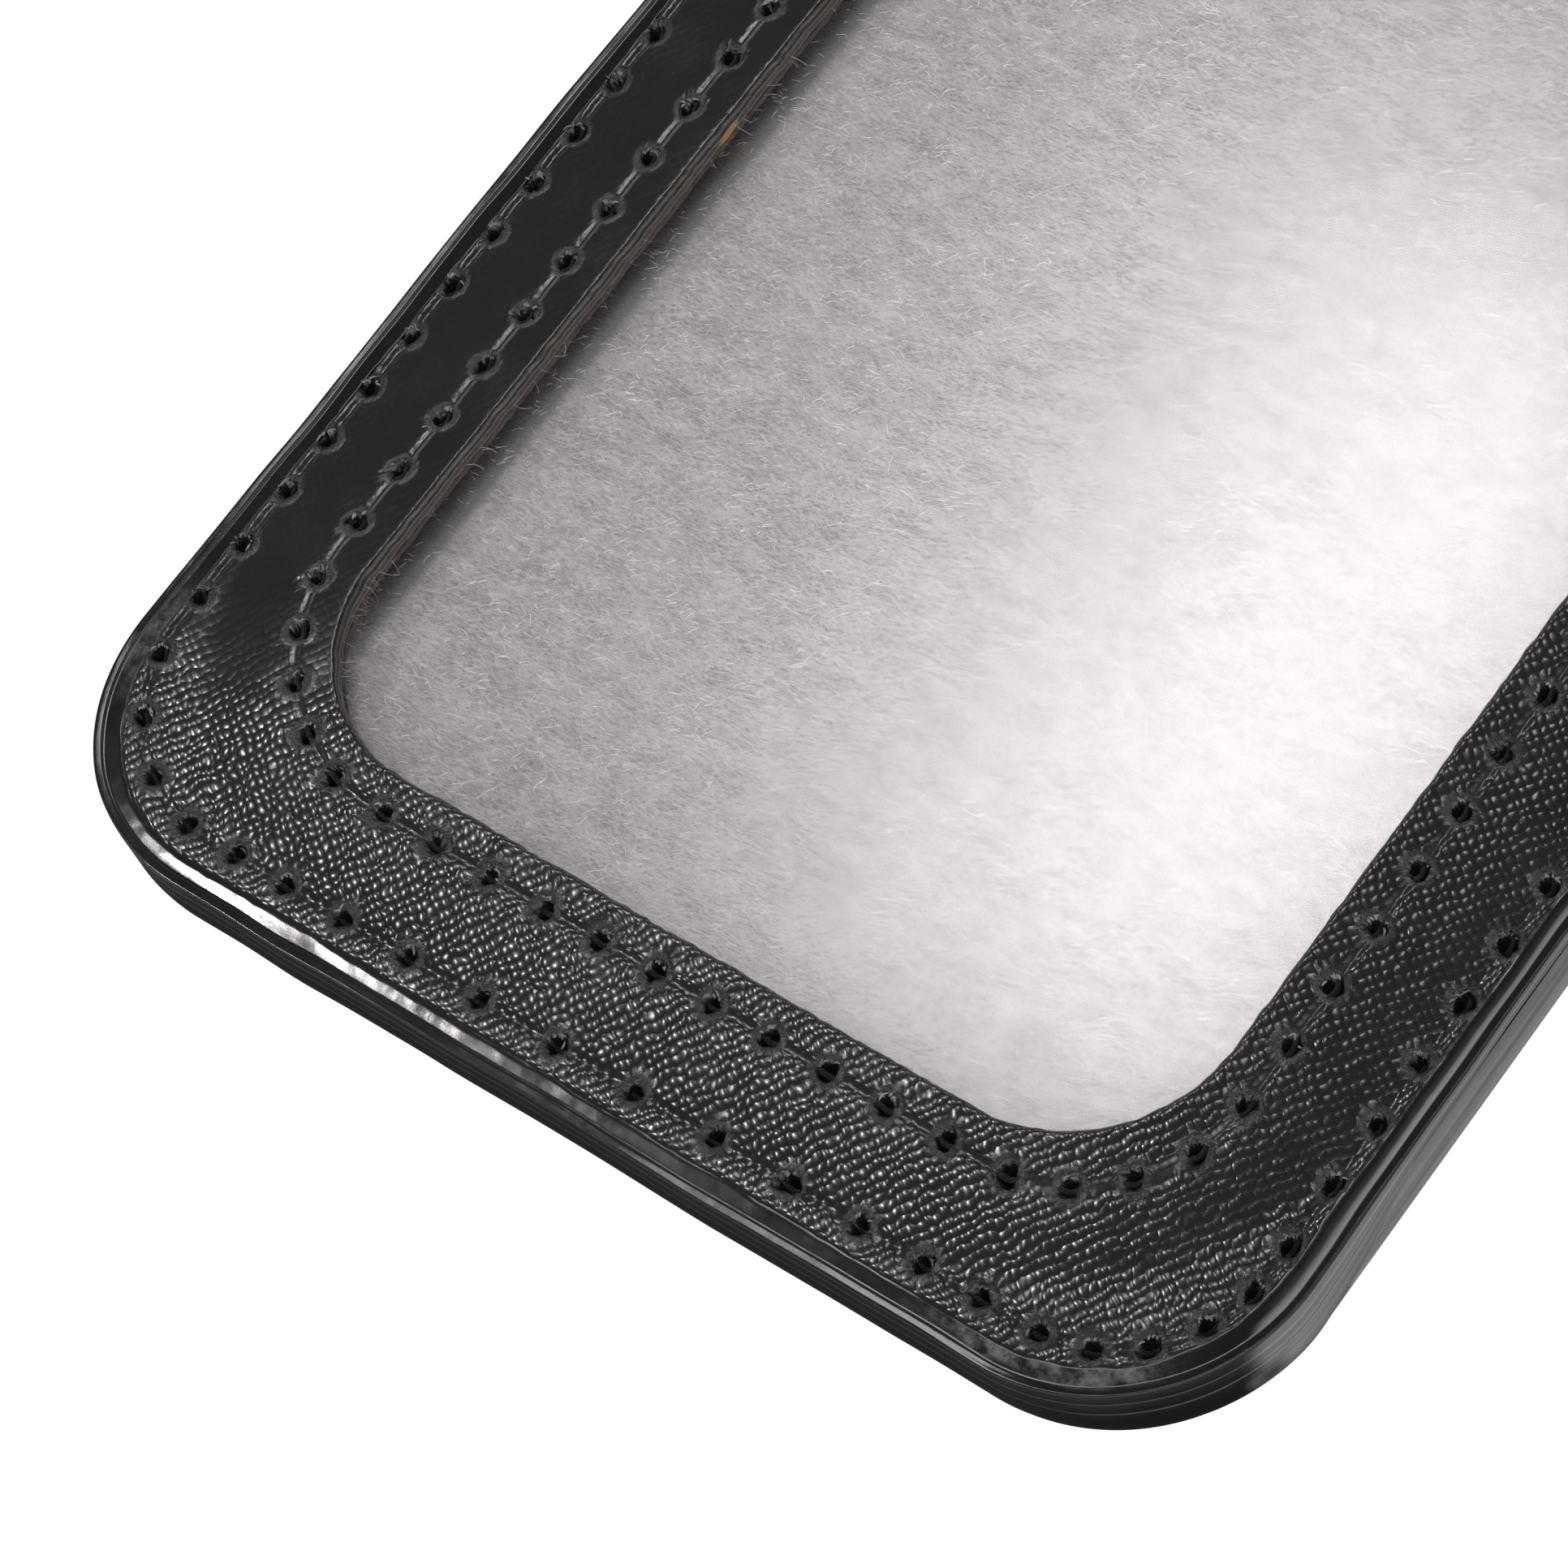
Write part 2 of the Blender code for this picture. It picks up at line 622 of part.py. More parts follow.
def rivet(pierced):
    """The rivet through the tab, the header and the back: a post with a sunk base, and a domed cap."""
    leaf_top = LINING_TOP + PLY_GAP + TAB_PLY + PLY_GAP + TAB_PLY
    base_top = RIVET_BASE_INSET + RIVET_BASE
    cap_z = leaf_top + PLY_GAP
    cap_top = cap_z + RIVET_BRIM + RIVET_DOME
    shank_top = cap_z + RIVET_GRIP
    place = (0, RIVET_Y)
    base = [(RIVET_RADIUS, RIVET_BASE_INSET), (RIVET_RADIUS, base_top), (SHANK_RADIUS, base_top)]
    lathe("rivet_post", base + [(SHANK_RADIUS, shank_top)], place, FINISHES["metal"])
    socket = SHANK_RADIUS + PLY_GAP
    dome = [(socket, shank_top + PLY_GAP), (socket, cap_z), (RIVET_RADIUS, cap_z)]
    steps = EASE_STEPS
    for step in range(steps):
        turn = math.pi / 2 * step / steps
        dome.append((RIVET_RADIUS * math.cos(turn), cap_z + RIVET_BRIM + RIVET_DOME * math.sin(turn)))
    crown_radius = dome[-1][0] / 2
    dome.append((crown_radius, cap_top - (cap_top - dome[-1][1]) / 4))
    lathe("rivet_cap", dome, place, FINISHES["metal"])
    hole_radius = SHANK_RADIUS + CLEARANCE
    top = leaf_top + CUT_OVERRUN
    hole = cutter(lathe("rivet_hole", [(hole_radius, -CUT_OVERRUN), (hole_radius, top)], place,
                        FINISHES["leather"]))
    seat_radius = RIVET_RADIUS + CLEARANCE
    seat = [(seat_radius, -CUT_OVERRUN), (seat_radius, BACK_PLY + PLY_GAP / 2)]
    seat = cutter(lathe("rivet_seat", seat, place, FINISHES["leather"]))
    facing, backing, upper, tab = pierced
    for made in (facing, backing, tab):
        cut(made, hole)
    cut(upper, seat)


def strap_ring(bar_y, bar_z):
    """The D ring, tipped about its bar until its bow lies on the table."""
    reach_x = RING_INSIDE / 2 + WIRE_RADIUS
    corner_x = reach_x - RING_CORNER
    path = arc(-corner_x, RING_CORNER, RING_CORNER, 180, 270, CORNER_STEPS // 2)
    path += arc(corner_x, RING_CORNER, RING_CORNER, 270, 360, CORNER_STEPS // 2)
    path += arc(0, RING_LEG, reach_x, 0, 180, TURN_STEPS)
    reach = RING_LEG + reach_x
    tip = math.asin((bar_z - WIRE_RADIUS - FLOOR_GAP) / reach)
    points = [(x, y, 0) for x, y in path]
    made = tube("strap_ring", points, WIRE_RADIUS, WIRE_SIDES, FINISHES["metal"], True)
    made.location = (0, bar_y, bar_z)
    made.rotation_euler = (-tip, 0, 0)
    return reach * math.cos(tip) + WIRE_RADIUS


def clear_scene():
    """Starts from nothing."""
    for old in list(bpy.data.objects):
        bpy.data.objects.remove(old, do_unlink=True)


clear_scene()
FINISHES = {
    "leather": material("black_leatherette", (0.016, 0.016, 0.017), 0.42),
    "edge_paint": material("edge_paint", (0.010, 0.010, 0.011), 0.18),
    "thread": material("dark_thread", (0.022, 0.018, 0.016), 0.60),
    "fibreboard": material("brown_fibreboard", (0.085, 0.050, 0.032), 0.85),
    "film": material("clear_film", (0.92, 0.93, 0.94), 0.06, alpha=0.25),
    "lining": material("grey_lining", (0.50, 0.49, 0.50), 0.90),
    "board": material("grey_board", (0.25, 0.23, 0.20), 0.90),
    "backing": material("black_backing", (0.020, 0.020, 0.021), 0.70),
    "metal": material("nickel_wire", (0.62, 0.61, 0.60), 0.22, metallic=1),
}
front_panel()
front_fibreboard()
window_film()
front_edge_paint()
back_edge_paint()
gusset()
window_threads()
perimeter_threads()
header_facing, pocket_backing, back_upper = back_plies()
tab, ring_bar_y, ring_bar_z = ring_tab()
rivet((header_facing, pocket_backing, back_upper, tab))
ring_reach = strap_ring(ring_bar_y, ring_bar_z)

# The origin stands under the middle of the whole length, ring included.
holder = bpy.data.objects.new("holder_frame", None)
bpy.context.scene.collection.objects.link(holder)
holder.location.y = -(ring_bar_y + ring_reach + BOTTOM_Y) / 2
for piece in list(bpy.context.scene.objects):
    if piece is not holder:
        piece.parent = holder
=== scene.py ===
import json
import math

import bmesh
import bpy
import numpy as np
from mathutils import Matrix, Vector


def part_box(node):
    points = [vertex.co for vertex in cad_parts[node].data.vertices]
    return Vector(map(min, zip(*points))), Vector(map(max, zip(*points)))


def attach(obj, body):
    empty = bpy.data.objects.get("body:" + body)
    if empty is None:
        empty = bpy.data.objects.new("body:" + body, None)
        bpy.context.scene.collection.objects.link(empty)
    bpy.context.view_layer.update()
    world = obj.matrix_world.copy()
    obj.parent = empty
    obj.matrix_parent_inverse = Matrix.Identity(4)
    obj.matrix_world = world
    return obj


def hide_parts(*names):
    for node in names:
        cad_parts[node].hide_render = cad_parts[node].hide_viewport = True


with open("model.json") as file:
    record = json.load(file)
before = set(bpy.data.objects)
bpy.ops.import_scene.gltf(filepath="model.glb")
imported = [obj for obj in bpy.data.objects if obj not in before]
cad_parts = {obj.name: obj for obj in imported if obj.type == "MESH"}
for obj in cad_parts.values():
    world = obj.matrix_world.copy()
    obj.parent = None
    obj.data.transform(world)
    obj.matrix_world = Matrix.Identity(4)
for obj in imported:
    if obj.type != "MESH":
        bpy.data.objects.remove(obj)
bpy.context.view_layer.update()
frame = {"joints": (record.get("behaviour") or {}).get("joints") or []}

# Places read from the frame, in metres. The holder lies on its back, ring end towards +Y.
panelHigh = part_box("front_panel")[1]
rimLow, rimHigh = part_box("front_edge_paint")
gussetLow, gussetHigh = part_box("gusset")
filmLow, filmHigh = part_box("window_film")
liningLow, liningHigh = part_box("card_lining")
facingLow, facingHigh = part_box("header_facing")
backLow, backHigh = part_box("back_edge_paint")
pocketLow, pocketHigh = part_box("back_pocket_panel")
upperLow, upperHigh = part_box("back_upper_panel")
fibreLow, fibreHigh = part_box("front_fibreboard")
tabLow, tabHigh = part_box("ring_tab")
capLow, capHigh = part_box("rivet_cap")
postLow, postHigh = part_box("rivet_post")
barPlace = Vector(frame["joints"][0]["pos_m"])

holder = {
    "half": rimHigh.x,
    "bottom": rimLow.y,
    "mouth": rimHigh.y,
    "top": backHigh.y,
    "corner": 0.0107,
    "squareCorner": 0.0005,  # the small round left on the corners at the card mouth
    "rimUnder": rimLow.z,
    "rimTop": rimLow.z + 0.0009,
    "plyInset": rimHigh.x - panelHigh.x,
    "mouthRise": 0.0008,
    "riseHalf": 0.0307,
    "dipHalf": 0.0110,
    "dipDepth": 0.0050,
    "slotDipDepth": 0.0060,
    "gussetWidth": 0.0043,
    "sideLean": 0.0010,  # how far the side walls lean in at the table
    "crownEnd": 0.0023,  # how near to the edge the leather's crown reaches
}
film = {
    "side": 0.0033,  # how far the sheet reaches past the window at its sides
    "end": 0.0030,
    "ply": 0.0002,
    "flatEdge": 0.006,  # its unevenness fades out over this reach at the window's edge
    "warp": (0.00006, 0.024, 81),  # height, cell and seed of its unevenness, as for lumps
    "ringShares": (0.03, 0.25, 0.5, 0.75, 0.9, 0.975, 0.995, 1),
}
window = {
    "half": filmHigh.x - film["side"],
    "low": filmLow.y + film["end"],
    "high": filmHigh.y - film["end"],
    "corner": 0.00845,
    "lipTop": filmHigh.z + 0.00145,
    "lipUnder": filmHigh.z + 0.00055,
}
window["crown"] = window["lipTop"] - holder["rimTop"]
window["crownRun"] = holder["half"] - window["half"] - holder["crownEnd"]

# Stations along an outline: in each corner, and on the bottom, right, top and left runs.
steps = {"corners": (70, 70, 30, 30), "runs": (280, 370, 120, 370)}


def smoothStep(t):
    t = np.clip(t, 0, 1)
    return t * t * (3 - 2 * t)


def mixed(a, b, share):
    return a + (b - a) * share


# Smooth noise from -1 to 1 whose lumps are about one cell wide.
def cloud(x, y, cell, seed=0):
    u = np.asarray(x, float) / cell
    v = np.asarray(y, float) / cell
    iu = np.floor(u).astype(np.int64)
    iv = np.floor(v).astype(np.int64)
    fu = smoothStep(u - iu)
    fv = smoothStep(v - iv)

    def corner(du, dv):
        mix = ((iu + du) * 374761393 + (iv + dv) * 668265263 + seed * 974634777) & 0xFFFFFFFF
        mix = ((mix ^ (mix >> 13)) * 1274126177) & 0xFFFFFFFF
        return ((mix ^ (mix >> 16)) & 0xFFFF) / 32767.5 - 1

    low = mixed(corner(0, 0), corner(1, 0), fu)
    high = mixed(corner(0, 1), corner(1, 1), fu)
    return mixed(low, high, fv)


# Layers of smooth noise added up. Each layer is (height, cell, seed).
def lumps(x, y, *layers):
    return sum(height * cloud(x, y, cell, seed) for height, cell, seed in layers)


def unitRows(rows):
    return rows / np.maximum(np.linalg.norm(rows, axis=1), 1e-12)[:, None]


# How far along a line each of its points lies.
def lengthAlong(points):
    return np.concatenate([[0], np.cumsum(np.linalg.norm(np.diff(points, axis=0), axis=1))])


# Distance to a round-cornered shape, negative inside. Radii run anticlockwise from the lower left.
def boxDistance(x, y, shape):
    px = x - shape.get("shift", 0)
    py = y - (shape["low"] + shape["high"]) / 2
    lowLeft, lowRight, highRight, highLeft = shape["radii"]
    lowRadius = np.where(px < 0, lowLeft, lowRight)
    highRadius = np.where(px < 0, highLeft, highRight)
    radius = np.where(py < 0, lowRadius, highRadius)
    qx = np.abs(px) - shape["half"] + radius
    qy = np.abs(py) - (shape["high"] - shape["low"]) / 2 + radius
    return np.minimum(np.maximum(qx, qy), 0) + np.hypot(np.maximum(qx, 0), np.maximum(qy, 0)) - radius


def thumbDip(x, depth):
    ease = (1 + np.cos(np.pi * np.clip(np.asarray(x) / holder["dipHalf"], -1, 1))) / 2
    return depth * np.sin(np.pi / 2 * ease)


def arcPoints(cx, cy, radius, start, end, count):
    turn = np.radians(np.linspace(start, end, count))
    return np.stack([cx + radius * np.cos(turn), cy + radius * np.sin(turn)], 1)


# Points of a round-cornered outline, anticlockwise from its lower left corner.
def outline(shape, dipDepth=0):
    half, low, high = shape["half"], shape["low"], shape["high"]
    lowLeft, lowRight, highRight, highLeft = np.maximum(shape["radii"], 0.00002)
    counts = steps["corners"]
    corners = [
        arcPoints(-half + lowLeft, low + lowLeft, lowLeft, 180, 270, counts[0]),
        arcPoints(half - lowRight, low + lowRight, lowRight, 270, 360, counts[1]),
        arcPoints(half - highRight, high - highRight, highRight, 0, 90, counts[2]),
        arcPoints(-half + highLeft, high - highLeft, highLeft, 90, 180, counts[3]),
    ]
    parts = []
    for index, run in enumerate(steps["runs"]):
        start = corners[index][-1]
        end = corners[(index + 1) % 4][0]
        between = np.linspace(0, 1, run + 2)[1:-1, None]
        line = start + (end - start) * between
        if index == 2 and dipDepth:
            line[:, 1] -= thumbDip(line[:, 0], dipDepth)
        parts += [corners[index], line]
    return np.concatenate(parts) + (shape.get("shift", 0), 0)


# An outline of the front this far inside its edge, at the sides and at the ends.
def frontRing(side, end):
    soft = holder["corner"] - side
    square = holder["squareCorner"]
    shape = {"half": holder["half"] - side, "low": holder["bottom"] + end, "high": holder["mouth"] - end}
    return outline({**shape, "radii": (soft, soft, square, square)}, holder["dipDepth"])


def backRing(inset):
    shape = {"half": holder["half"] - inset, "low": holder["bottom"] + inset, "high": holder["top"] - inset}
    return outline({**shape, "radii": (holder["corner"] - inset,) * 4})


# An outline this far outside the window.
def windowRing(side, end):
    shape = {"half": window["half"] + side, "low": window["low"] - end, "high": window["high"] + end}
    return outline({**shape, "radii": (window["corner"] + (side + end) / 2,) * 4})


# Mesh helpers. A piece rides on a CAD body and stands for the CAD nodes in stands.
def newPiece(name, points, faces, finishes, body="holder", stands=(), angle=45, faceSlots=None):
    mesh = bpy.data.meshes.new(name)
    mesh.from_pydata(np.asarray(points, float).tolist(), [], faces)
    if faceSlots is not None:
        mesh.polygons.foreach_set("material_index", np.asarray(faceSlots, np.int32))
    shape = bmesh.new()
    shape.from_mesh(mesh)
    bmesh.ops.recalc_face_normals(shape, faces=shape.faces)
    shape.to_mesh(mesh)
    shape.free()
    mesh.shade_smooth()
    mesh.set_sharp_from_angle(angle=math.radians(angle))
    for finish in finishes:
        mesh.materials.append(finish)
    made = bpy.data.objects.new(name, mesh)
    bpy.context.scene.collection.objects.link(made)
    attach(made, body)
    if stands:
        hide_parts(*stands)
    print(name, len(mesh.polygons), "faces")
    return made


def setMask(made, name, values):
    mask = made.data.attributes.new(name, "FLOAT", "POINT")
    mask.data.foreach_set("value", np.asarray(values, np.float32))


# Where the grain lies on the flat skin, so that it doesn't stretch down a wall.
def setPlace(made, xy):
    places = np.column_stack([xy, np.zeros(len(xy))]).astype(np.float32)
    skinPlace = made.data.attributes.new("skinPlace", "FLOAT_VECTOR", "POINT")
    skinPlace.data.foreach_set("vector", places.ravel())


# Quads between neighbouring rows of points. A closed piece joins its last row to its first.
def rowFaces(rowCount, count, closed):
    row = np.arange(rowCount if closed else rowCount - 1)[:, None]
    step = np.arange(count)[None, :]
    near = row * count
    far = (row + 1) % rowCount * count
    after = (step + 1) % count
    return np.stack([near + step, near + after, far + after, far + step], -1).reshape(-1, 4).tolist()


# The faces of an open run of rows, with a cap on its first and last row.
def cappedFaces(rowCount, count):
    caps = [list(range(count)), list(range((rowCount - 1) * count, rowCount * count))]
    return rowFaces(rowCount, count, False) + caps


# Rows of xy points, each with its height, as one array of points.
def stacked(rows):
    return np.concatenate([np.column_stack([xy, np.broadcast_to(z, len(xy))]) for xy, z in rows])


# Round strands along paths of points.
def tubeMesh(paths, radius, sides, closed):
    points = []
    faces = []
    base = 0
    turn = 2 * np.pi * np.arange(sides) / sides
    for path in paths:
        if closed:
            along = np.roll(path, -1, 0) - np.roll(path, 1, 0)
        else:
            along = np.gradient(path, axis=0)
        along = unitRows(along)
        side = unitRows(np.cross(along, np.where(np.abs(along[:, 2:]) > 0.9, [[0, 1.0, 0]], [[0, 0, 1.0]])))
        top = np.cross(side, along)
        width = np.broadcast_to(radius, len(path))[:, None, None]
        spokes = side[:, None] * np.cos(turn)[None, :, None] + top[:, None] * np.sin(turn)[None, :, None]
        points.append((path[:, None] + spokes * width).reshape(-1, 3))
        count = len(path)
        faces += (np.array(rowFaces(count, sides, closed)) + base).tolist()
        if not closed:
            faces.append([base + i for i in range(sides)])
            faces.append([base + (count - 1) * sides + i for i in range(sides)])
        base += count * sides
    return np.concatenate(points), faces


# Shader helpers.
def addNode(tree, kind, **settings):
    node = tree.nodes.new(kind)
    for key, value in settings.items():
        setattr(node, key, value)
    return node


def feed(tree, source, target):
    if isinstance(source, (int, float, tuple)):
        target.default_value = source
    else:
        tree.links.new(source, target)


def mathNode(tree, operation, first, second=0.0, clamp=False):
    node = addNode(tree, "ShaderNodeMath", operation=operation, use_clamp=clamp)
    feed(tree, first, node.inputs[0])
    feed(tree, second, node.inputs[1])
    return node.outputs[0]


def times(tree, first, second):
    return mathNode(tree, "MULTIPLY", first, second)


def plus(tree, first, second):
    return mathNode(tree, "ADD", first, second)


def vectorNode(tree, operation, first, second):
    node = addNode(tree, "ShaderNodeVectorMath", operation=operation)
    feed(tree, first, node.inputs[0])
    feed(tree, second, node.inputs["Scale" if operation == "SCALE" else 1])
    return node.outputs[0]


def rangeNode(tree, value, low, high, newLow=0.0, newHigh=1.0):
    node = addNode(tree, "ShaderNodeMapRange", interpolation_type="SMOOTHSTEP")
    for socket, number in zip(node.inputs[:5], (value, low, high, newLow, newHigh)):
        feed(tree, number, socket)
    return node.outputs[0]


def mixColour(tree, share, first, second, blend="MIX"):
    node = addNode(tree, "ShaderNodeMix", data_type="RGBA", blend_type=blend)
    feed(tree, share, node.inputs[0])
    feed(tree, first, node.inputs[6])
    feed(tree, second, node.inputs[7])
    return node.outputs[2]


# A mix of two colours that turns where a mask passes from low to high.
def twoTone(tree, mask, low, high, dark, pale):
    return mixColour(tree, rangeNode(tree, mask, low, high), dark, pale)


def turnNode(tree, place, degrees):
    node = addNode(tree, "ShaderNodeVectorRotate", rotation_type="Z_AXIS")
    feed(tree, place, node.inputs["Vector"])
    node.inputs["Angle"].default_value = math.radians(degrees)
    return node.outputs[0]


def noiseNode(tree, place, scale, detail=2.0, roughness=0.5, output="Fac"):
    node = addNode(tree, "ShaderNodeTexNoise")
    feed(tree, place, node.inputs["Vector"])
    feed(tree, scale, node.inputs["Scale"])
    node.inputs["Detail"].default_value = detail
    node.inputs["Roughness"].default_value = roughness
    return node.outputs[output]


# An empty node group with its sockets. Inputs are (name, kind, value), outputs (name, kind).
def newGroup(name, inputs, outputs):
    tree = bpy.data.node_groups.new(name, "ShaderNodeTree")
    for label, kind, value in inputs:
        socket = tree.interface.new_socket(label, in_out="INPUT", socket_type="NodeSocket" + kind)
        if value is not None:
            socket.default_value = value
    for label, kind in outputs:
        tree.interface.new_socket(label, in_out="OUTPUT", socket_type="NodeSocket" + kind)
    return tree, tree.nodes.new("NodeGroupInput").outputs, tree.nodes.new("NodeGroupOutput").inputs


def useGroup(tree, group, **values):
    node = addNode(tree, "ShaderNodeGroup", node_tree=group)
    for label, value in values.items():
        feed(tree, value, node.inputs[label])
    return node.outputs


def newFinish(name, **plain):
    made = bpy.data.materials.new(name)
    made.use_nodes = True
    tree = made.node_tree
    shader = tree.nodes["Principled BSDF"]
    for label, value in plain.items():
        shader.inputs[label.replace("_", " ")].default_value = value
    return made, tree, shader.inputs


def objectPlace(tree):
    return addNode(tree, "ShaderNodeTexCoord").outputs["Object"]


def attribute(tree, name, output="Fac"):
    return addNode(tree, "ShaderNodeAttribute", attribute_name=name).outputs[output]


def bumpNode(tree, height, distance, normal=None):
    node = addNode(tree, "ShaderNodeBump")
    node.inputs["Distance"].default_value = distance
    feed(tree, height, node.inputs["Height"])
    if normal is not None:
        feed(tree, normal, node.inputs["Normal"])
    return node.outputs["Normal"]


# Ends a material in a mix of two shaders, which is the second one where share is 1.
def endMixed(tree, share, first, second):
    mix = addNode(tree, "ShaderNodeMixShader")
    for source, socket in zip((share, first, second), mix.inputs):
        feed(tree, source, socket)
    feed(tree, mix.outputs[0], tree.nodes["Material Output"].inputs["Surface"])


# Pebbled leatherette: low domes packed in slanting rows.
grain, given, out = newGroup("pebbleGrain", [("Place", "Vector", None), ("Pitch", "Float", 0.00048)],
                             [("Height", "Float")])
packed = vectorNode(grain, "MULTIPLY", turnNode(grain, given["Place"], 35), (1.0, 1.22, 1.0))
scaled = vectorNode(grain, "SCALE", packed, mathNode(grain, "DIVIDE", 1.0, given["Pitch"]))
bent = vectorNode(grain, "SCALE", noiseNode(grain, scaled, 0.35, 1.0, 0.5, "Color"), 1.0)
cells = addNode(grain, "ShaderNodeTexVoronoi", voronoi_dimensions="2D", feature="F1")
feed(grain, vectorNode(grain, "ADD", scaled, bent), cells.inputs["Vector"])
cells.inputs["Scale"].default_value = 1.0
cells.inputs["Randomness"].default_value = 0.38
squared = times(grain, cells.outputs["Distance"], cells.outputs["Distance"])
pebble = mathNode(grain, "SUBTRACT", 1.0, times(grain, squared, 2.04), True)
uneven = rangeNode(grain, noiseNode(grain, scaled, 0.45, 1.0), 0.3, 0.7, 0.85, 1.1)
sway = times(grain, noiseNode(grain, scaled, 0.30, 1.0), 0.6)
feed(grain, plus(grain, times(grain, pebble, uneven), sway), out["Height"])

# Handling marks: faint smears, rubbed places and dust.
wear, given, out = newGroup("fineWear", [("Place", "Vector", None), ("Size", "Float", 0.004)],
                            [("Smear", "Float"), ("Dust", "Float"), ("Cloud", "Float")])
per = mathNode(wear, "DIVIDE", 1.0, given["Size"])
broad = noiseNode(wear, given["Place"], per, 4.0, 0.6)
fine = noiseNode(wear, given["Place"], times(wear, per, 9.0), 3.0, 0.65)
feed(wear, rangeNode(wear, times(wear, broad, fine), 0.27, 0.42), out["Smear"])
speck = noiseNode(wear, given["Place"], times(wear, per, 40.0), 1.0, 0.5)
feed(wear, rangeNode(wear, speck, 0.74, 0.80), out["Dust"])
feed(wear, broad, out["Cloud"])

# Pressed or brushed fibre: streaks along Stretch, lumps and a fine nap.
felt, given, out = newGroup("fibreFelt", [("Place", "Vector", None), ("Stretch", "Vector", (1.0, 1.0, 1.0)),
                                          ("Size", "Float", 0.0003)],
                            [("Tone", "Float"), ("Height", "Float"), ("Nap", "Float"), ("Strand", "Float")])
per = mathNode(felt, "DIVIDE", 1.0, given["Size"])
drawn = vectorNode(felt, "SCALE", vectorNode(felt, "MULTIPLY", given["Place"], given["Stretch"]), per)
streak = noiseNode(felt, drawn, 1.0, 4.0, 0.7)
lump = noiseNode(felt, drawn, 0.16, 3.0, 0.6)
nap = noiseNode(felt, drawn, 4.5, 2.0, 0.6)
feed(felt, plus(felt, times(felt, streak, 0.6), times(felt, lump, 0.4)), out["Tone"])
feed(felt, plus(felt, streak, times(felt, nap, 0.5)), out["Height"])
feed(felt, nap, out["Nap"])
strands = 0.0
for degrees in (-62, -30, 8, 50):
    longer = vectorNode(felt, "MULTIPLY", turnNode(felt, drawn, degrees), (0.16, 0.95, 1.0))
    fine = noiseNode(felt, longer, 1.0, 1.0, 0.4)
    off = mathNode(felt, "ABSOLUTE", mathNode(felt, "SUBTRACT", fine, 0.5))
    strands = mathNode(felt, "MAXIMUM", strands, rangeNode(felt, off, 0.0, 0.035, 1.0, 0.0))
feed(felt, strands, out["Strand"])

leatherLook = {
    "coat": (0.0045, 0.0045, 0.0049, 1.0),
    "wearAndReflection": (0.013, 0.013, 0.0138, 1.0),
    "pitch": 0.00050,
    "grainDepth": 0.000044,
    "tornDepth": 0.00016,
    "seam": (0.010, 0.0078, 0.0070, 1.0),
}


# Leather finish. The grain lies by skinPlace on the skins made here. torn marks the lips of needle holes.
def leatherFinish(name, faded=False):
    made, tree, sockets = newFinish(name, Specular_IOR_Level=0.8)
    place = attribute(tree, "skinPlace", "Vector")
    pebbles = useGroup(tree, grain, Place=place, Pitch=leatherLook["pitch"])
    marks = useGroup(tree, wear, Place=place, Size=0.005)
    height = pebbles["Height"]
    if faded:
        height = times(tree, height, attribute(tree, "grainShare"))
    sunk = attribute(tree, "sunk")
    height = times(tree, height, mathNode(tree, "SUBTRACT", 1.0, times(tree, sunk, 0.75)))
    rubbedAndReflected = times(tree, marks["Smear"], 0.35)
    colour = mixColour(tree, rubbedAndReflected, leatherLook["coat"], leatherLook["wearAndReflection"])
    dust = times(tree, marks["Dust"], 0.15)
    colour = mixColour(tree, dust, colour, (0.10, 0.10, 0.10, 1))
    feed(tree, mixColour(tree, sunk, colour, leatherLook["seam"]), sockets["Base Color"])
    feed(tree, rangeNode(tree, marks["Cloud"], 0.3, 0.7, 0.20, 0.25), sockets["Roughness"])
    torn = attribute(tree, "torn")
    rag = noiseNode(tree, place, 5200.0, 3.0, 0.65)
    normal = bumpNode(tree, times(tree, rag, torn), leatherLook["tornDepth"])
    feed(tree, bumpNode(tree, height, leatherLook["grainDepth"], normal), sockets["Normal"])
    return made


# Edge paint: thick black gloss with a slow ripple, whitish smears, and grey in layers along one side,
# partly rubbed wear and partly a painted reflection.
def paintFinish(name):
    made, tree, sockets = newFinish(name, Specular_IOR_Level=0.5)
    place = objectPlace(tree)
    marks = useGroup(tree, wear, Place=place, Size=0.006)
    smeared = times(tree, marks["Smear"], 0.25)
    shade = mixColour(tree, smeared, (0.005, 0.005, 0.0055, 1), (0.024, 0.024, 0.025, 1))
    layers = noiseNode(tree, vectorNode(tree, "MULTIPLY", place, (40.0, 40.0, 1500.0)), 1.0, 2.0, 0.6)
    # The right wall's grey is partly rubbed wear and partly a painted reflection of the light that side
    # catches.
    rubbedAndReflected = twoTone(tree, layers, 0.35, 0.65, (0.19, 0.184, 0.177, 1), (0.30, 0.292, 0.284, 1))
    wearAndReflection = attribute(tree, "wearAndReflection")
    shade = mixColour(tree, wearAndReflection, shade, rubbedAndReflected)
    blotch = noiseNode(tree, place, 1100.0, 6.0, 0.7)
    smear = times(tree, attribute(tree, "smear"), rangeNode(tree, blotch, 0.30, 0.72))
    feed(tree, mixColour(tree, smear, shade, (0.16, 0.152, 0.146, 1)), sockets["Base Color"])
    rough = rangeNode(tree, marks["Cloud"], 0.3, 0.7, 0.12, 0.18)
    dulled = times(tree, mathNode(tree, "MAXIMUM", smear, wearAndReflection), 0.3)
    feed(tree, plus(tree, rough, dulled), sockets["Roughness"])
    ripple = bumpNode(tree, noiseNode(tree, place, 420.0), 0.00003)
    feed(tree, bumpNode(tree, noiseNode(tree, place, 5000.0), 0.0000015, ripple), sockets["Normal"])
    return made


napDepth = 0.00008


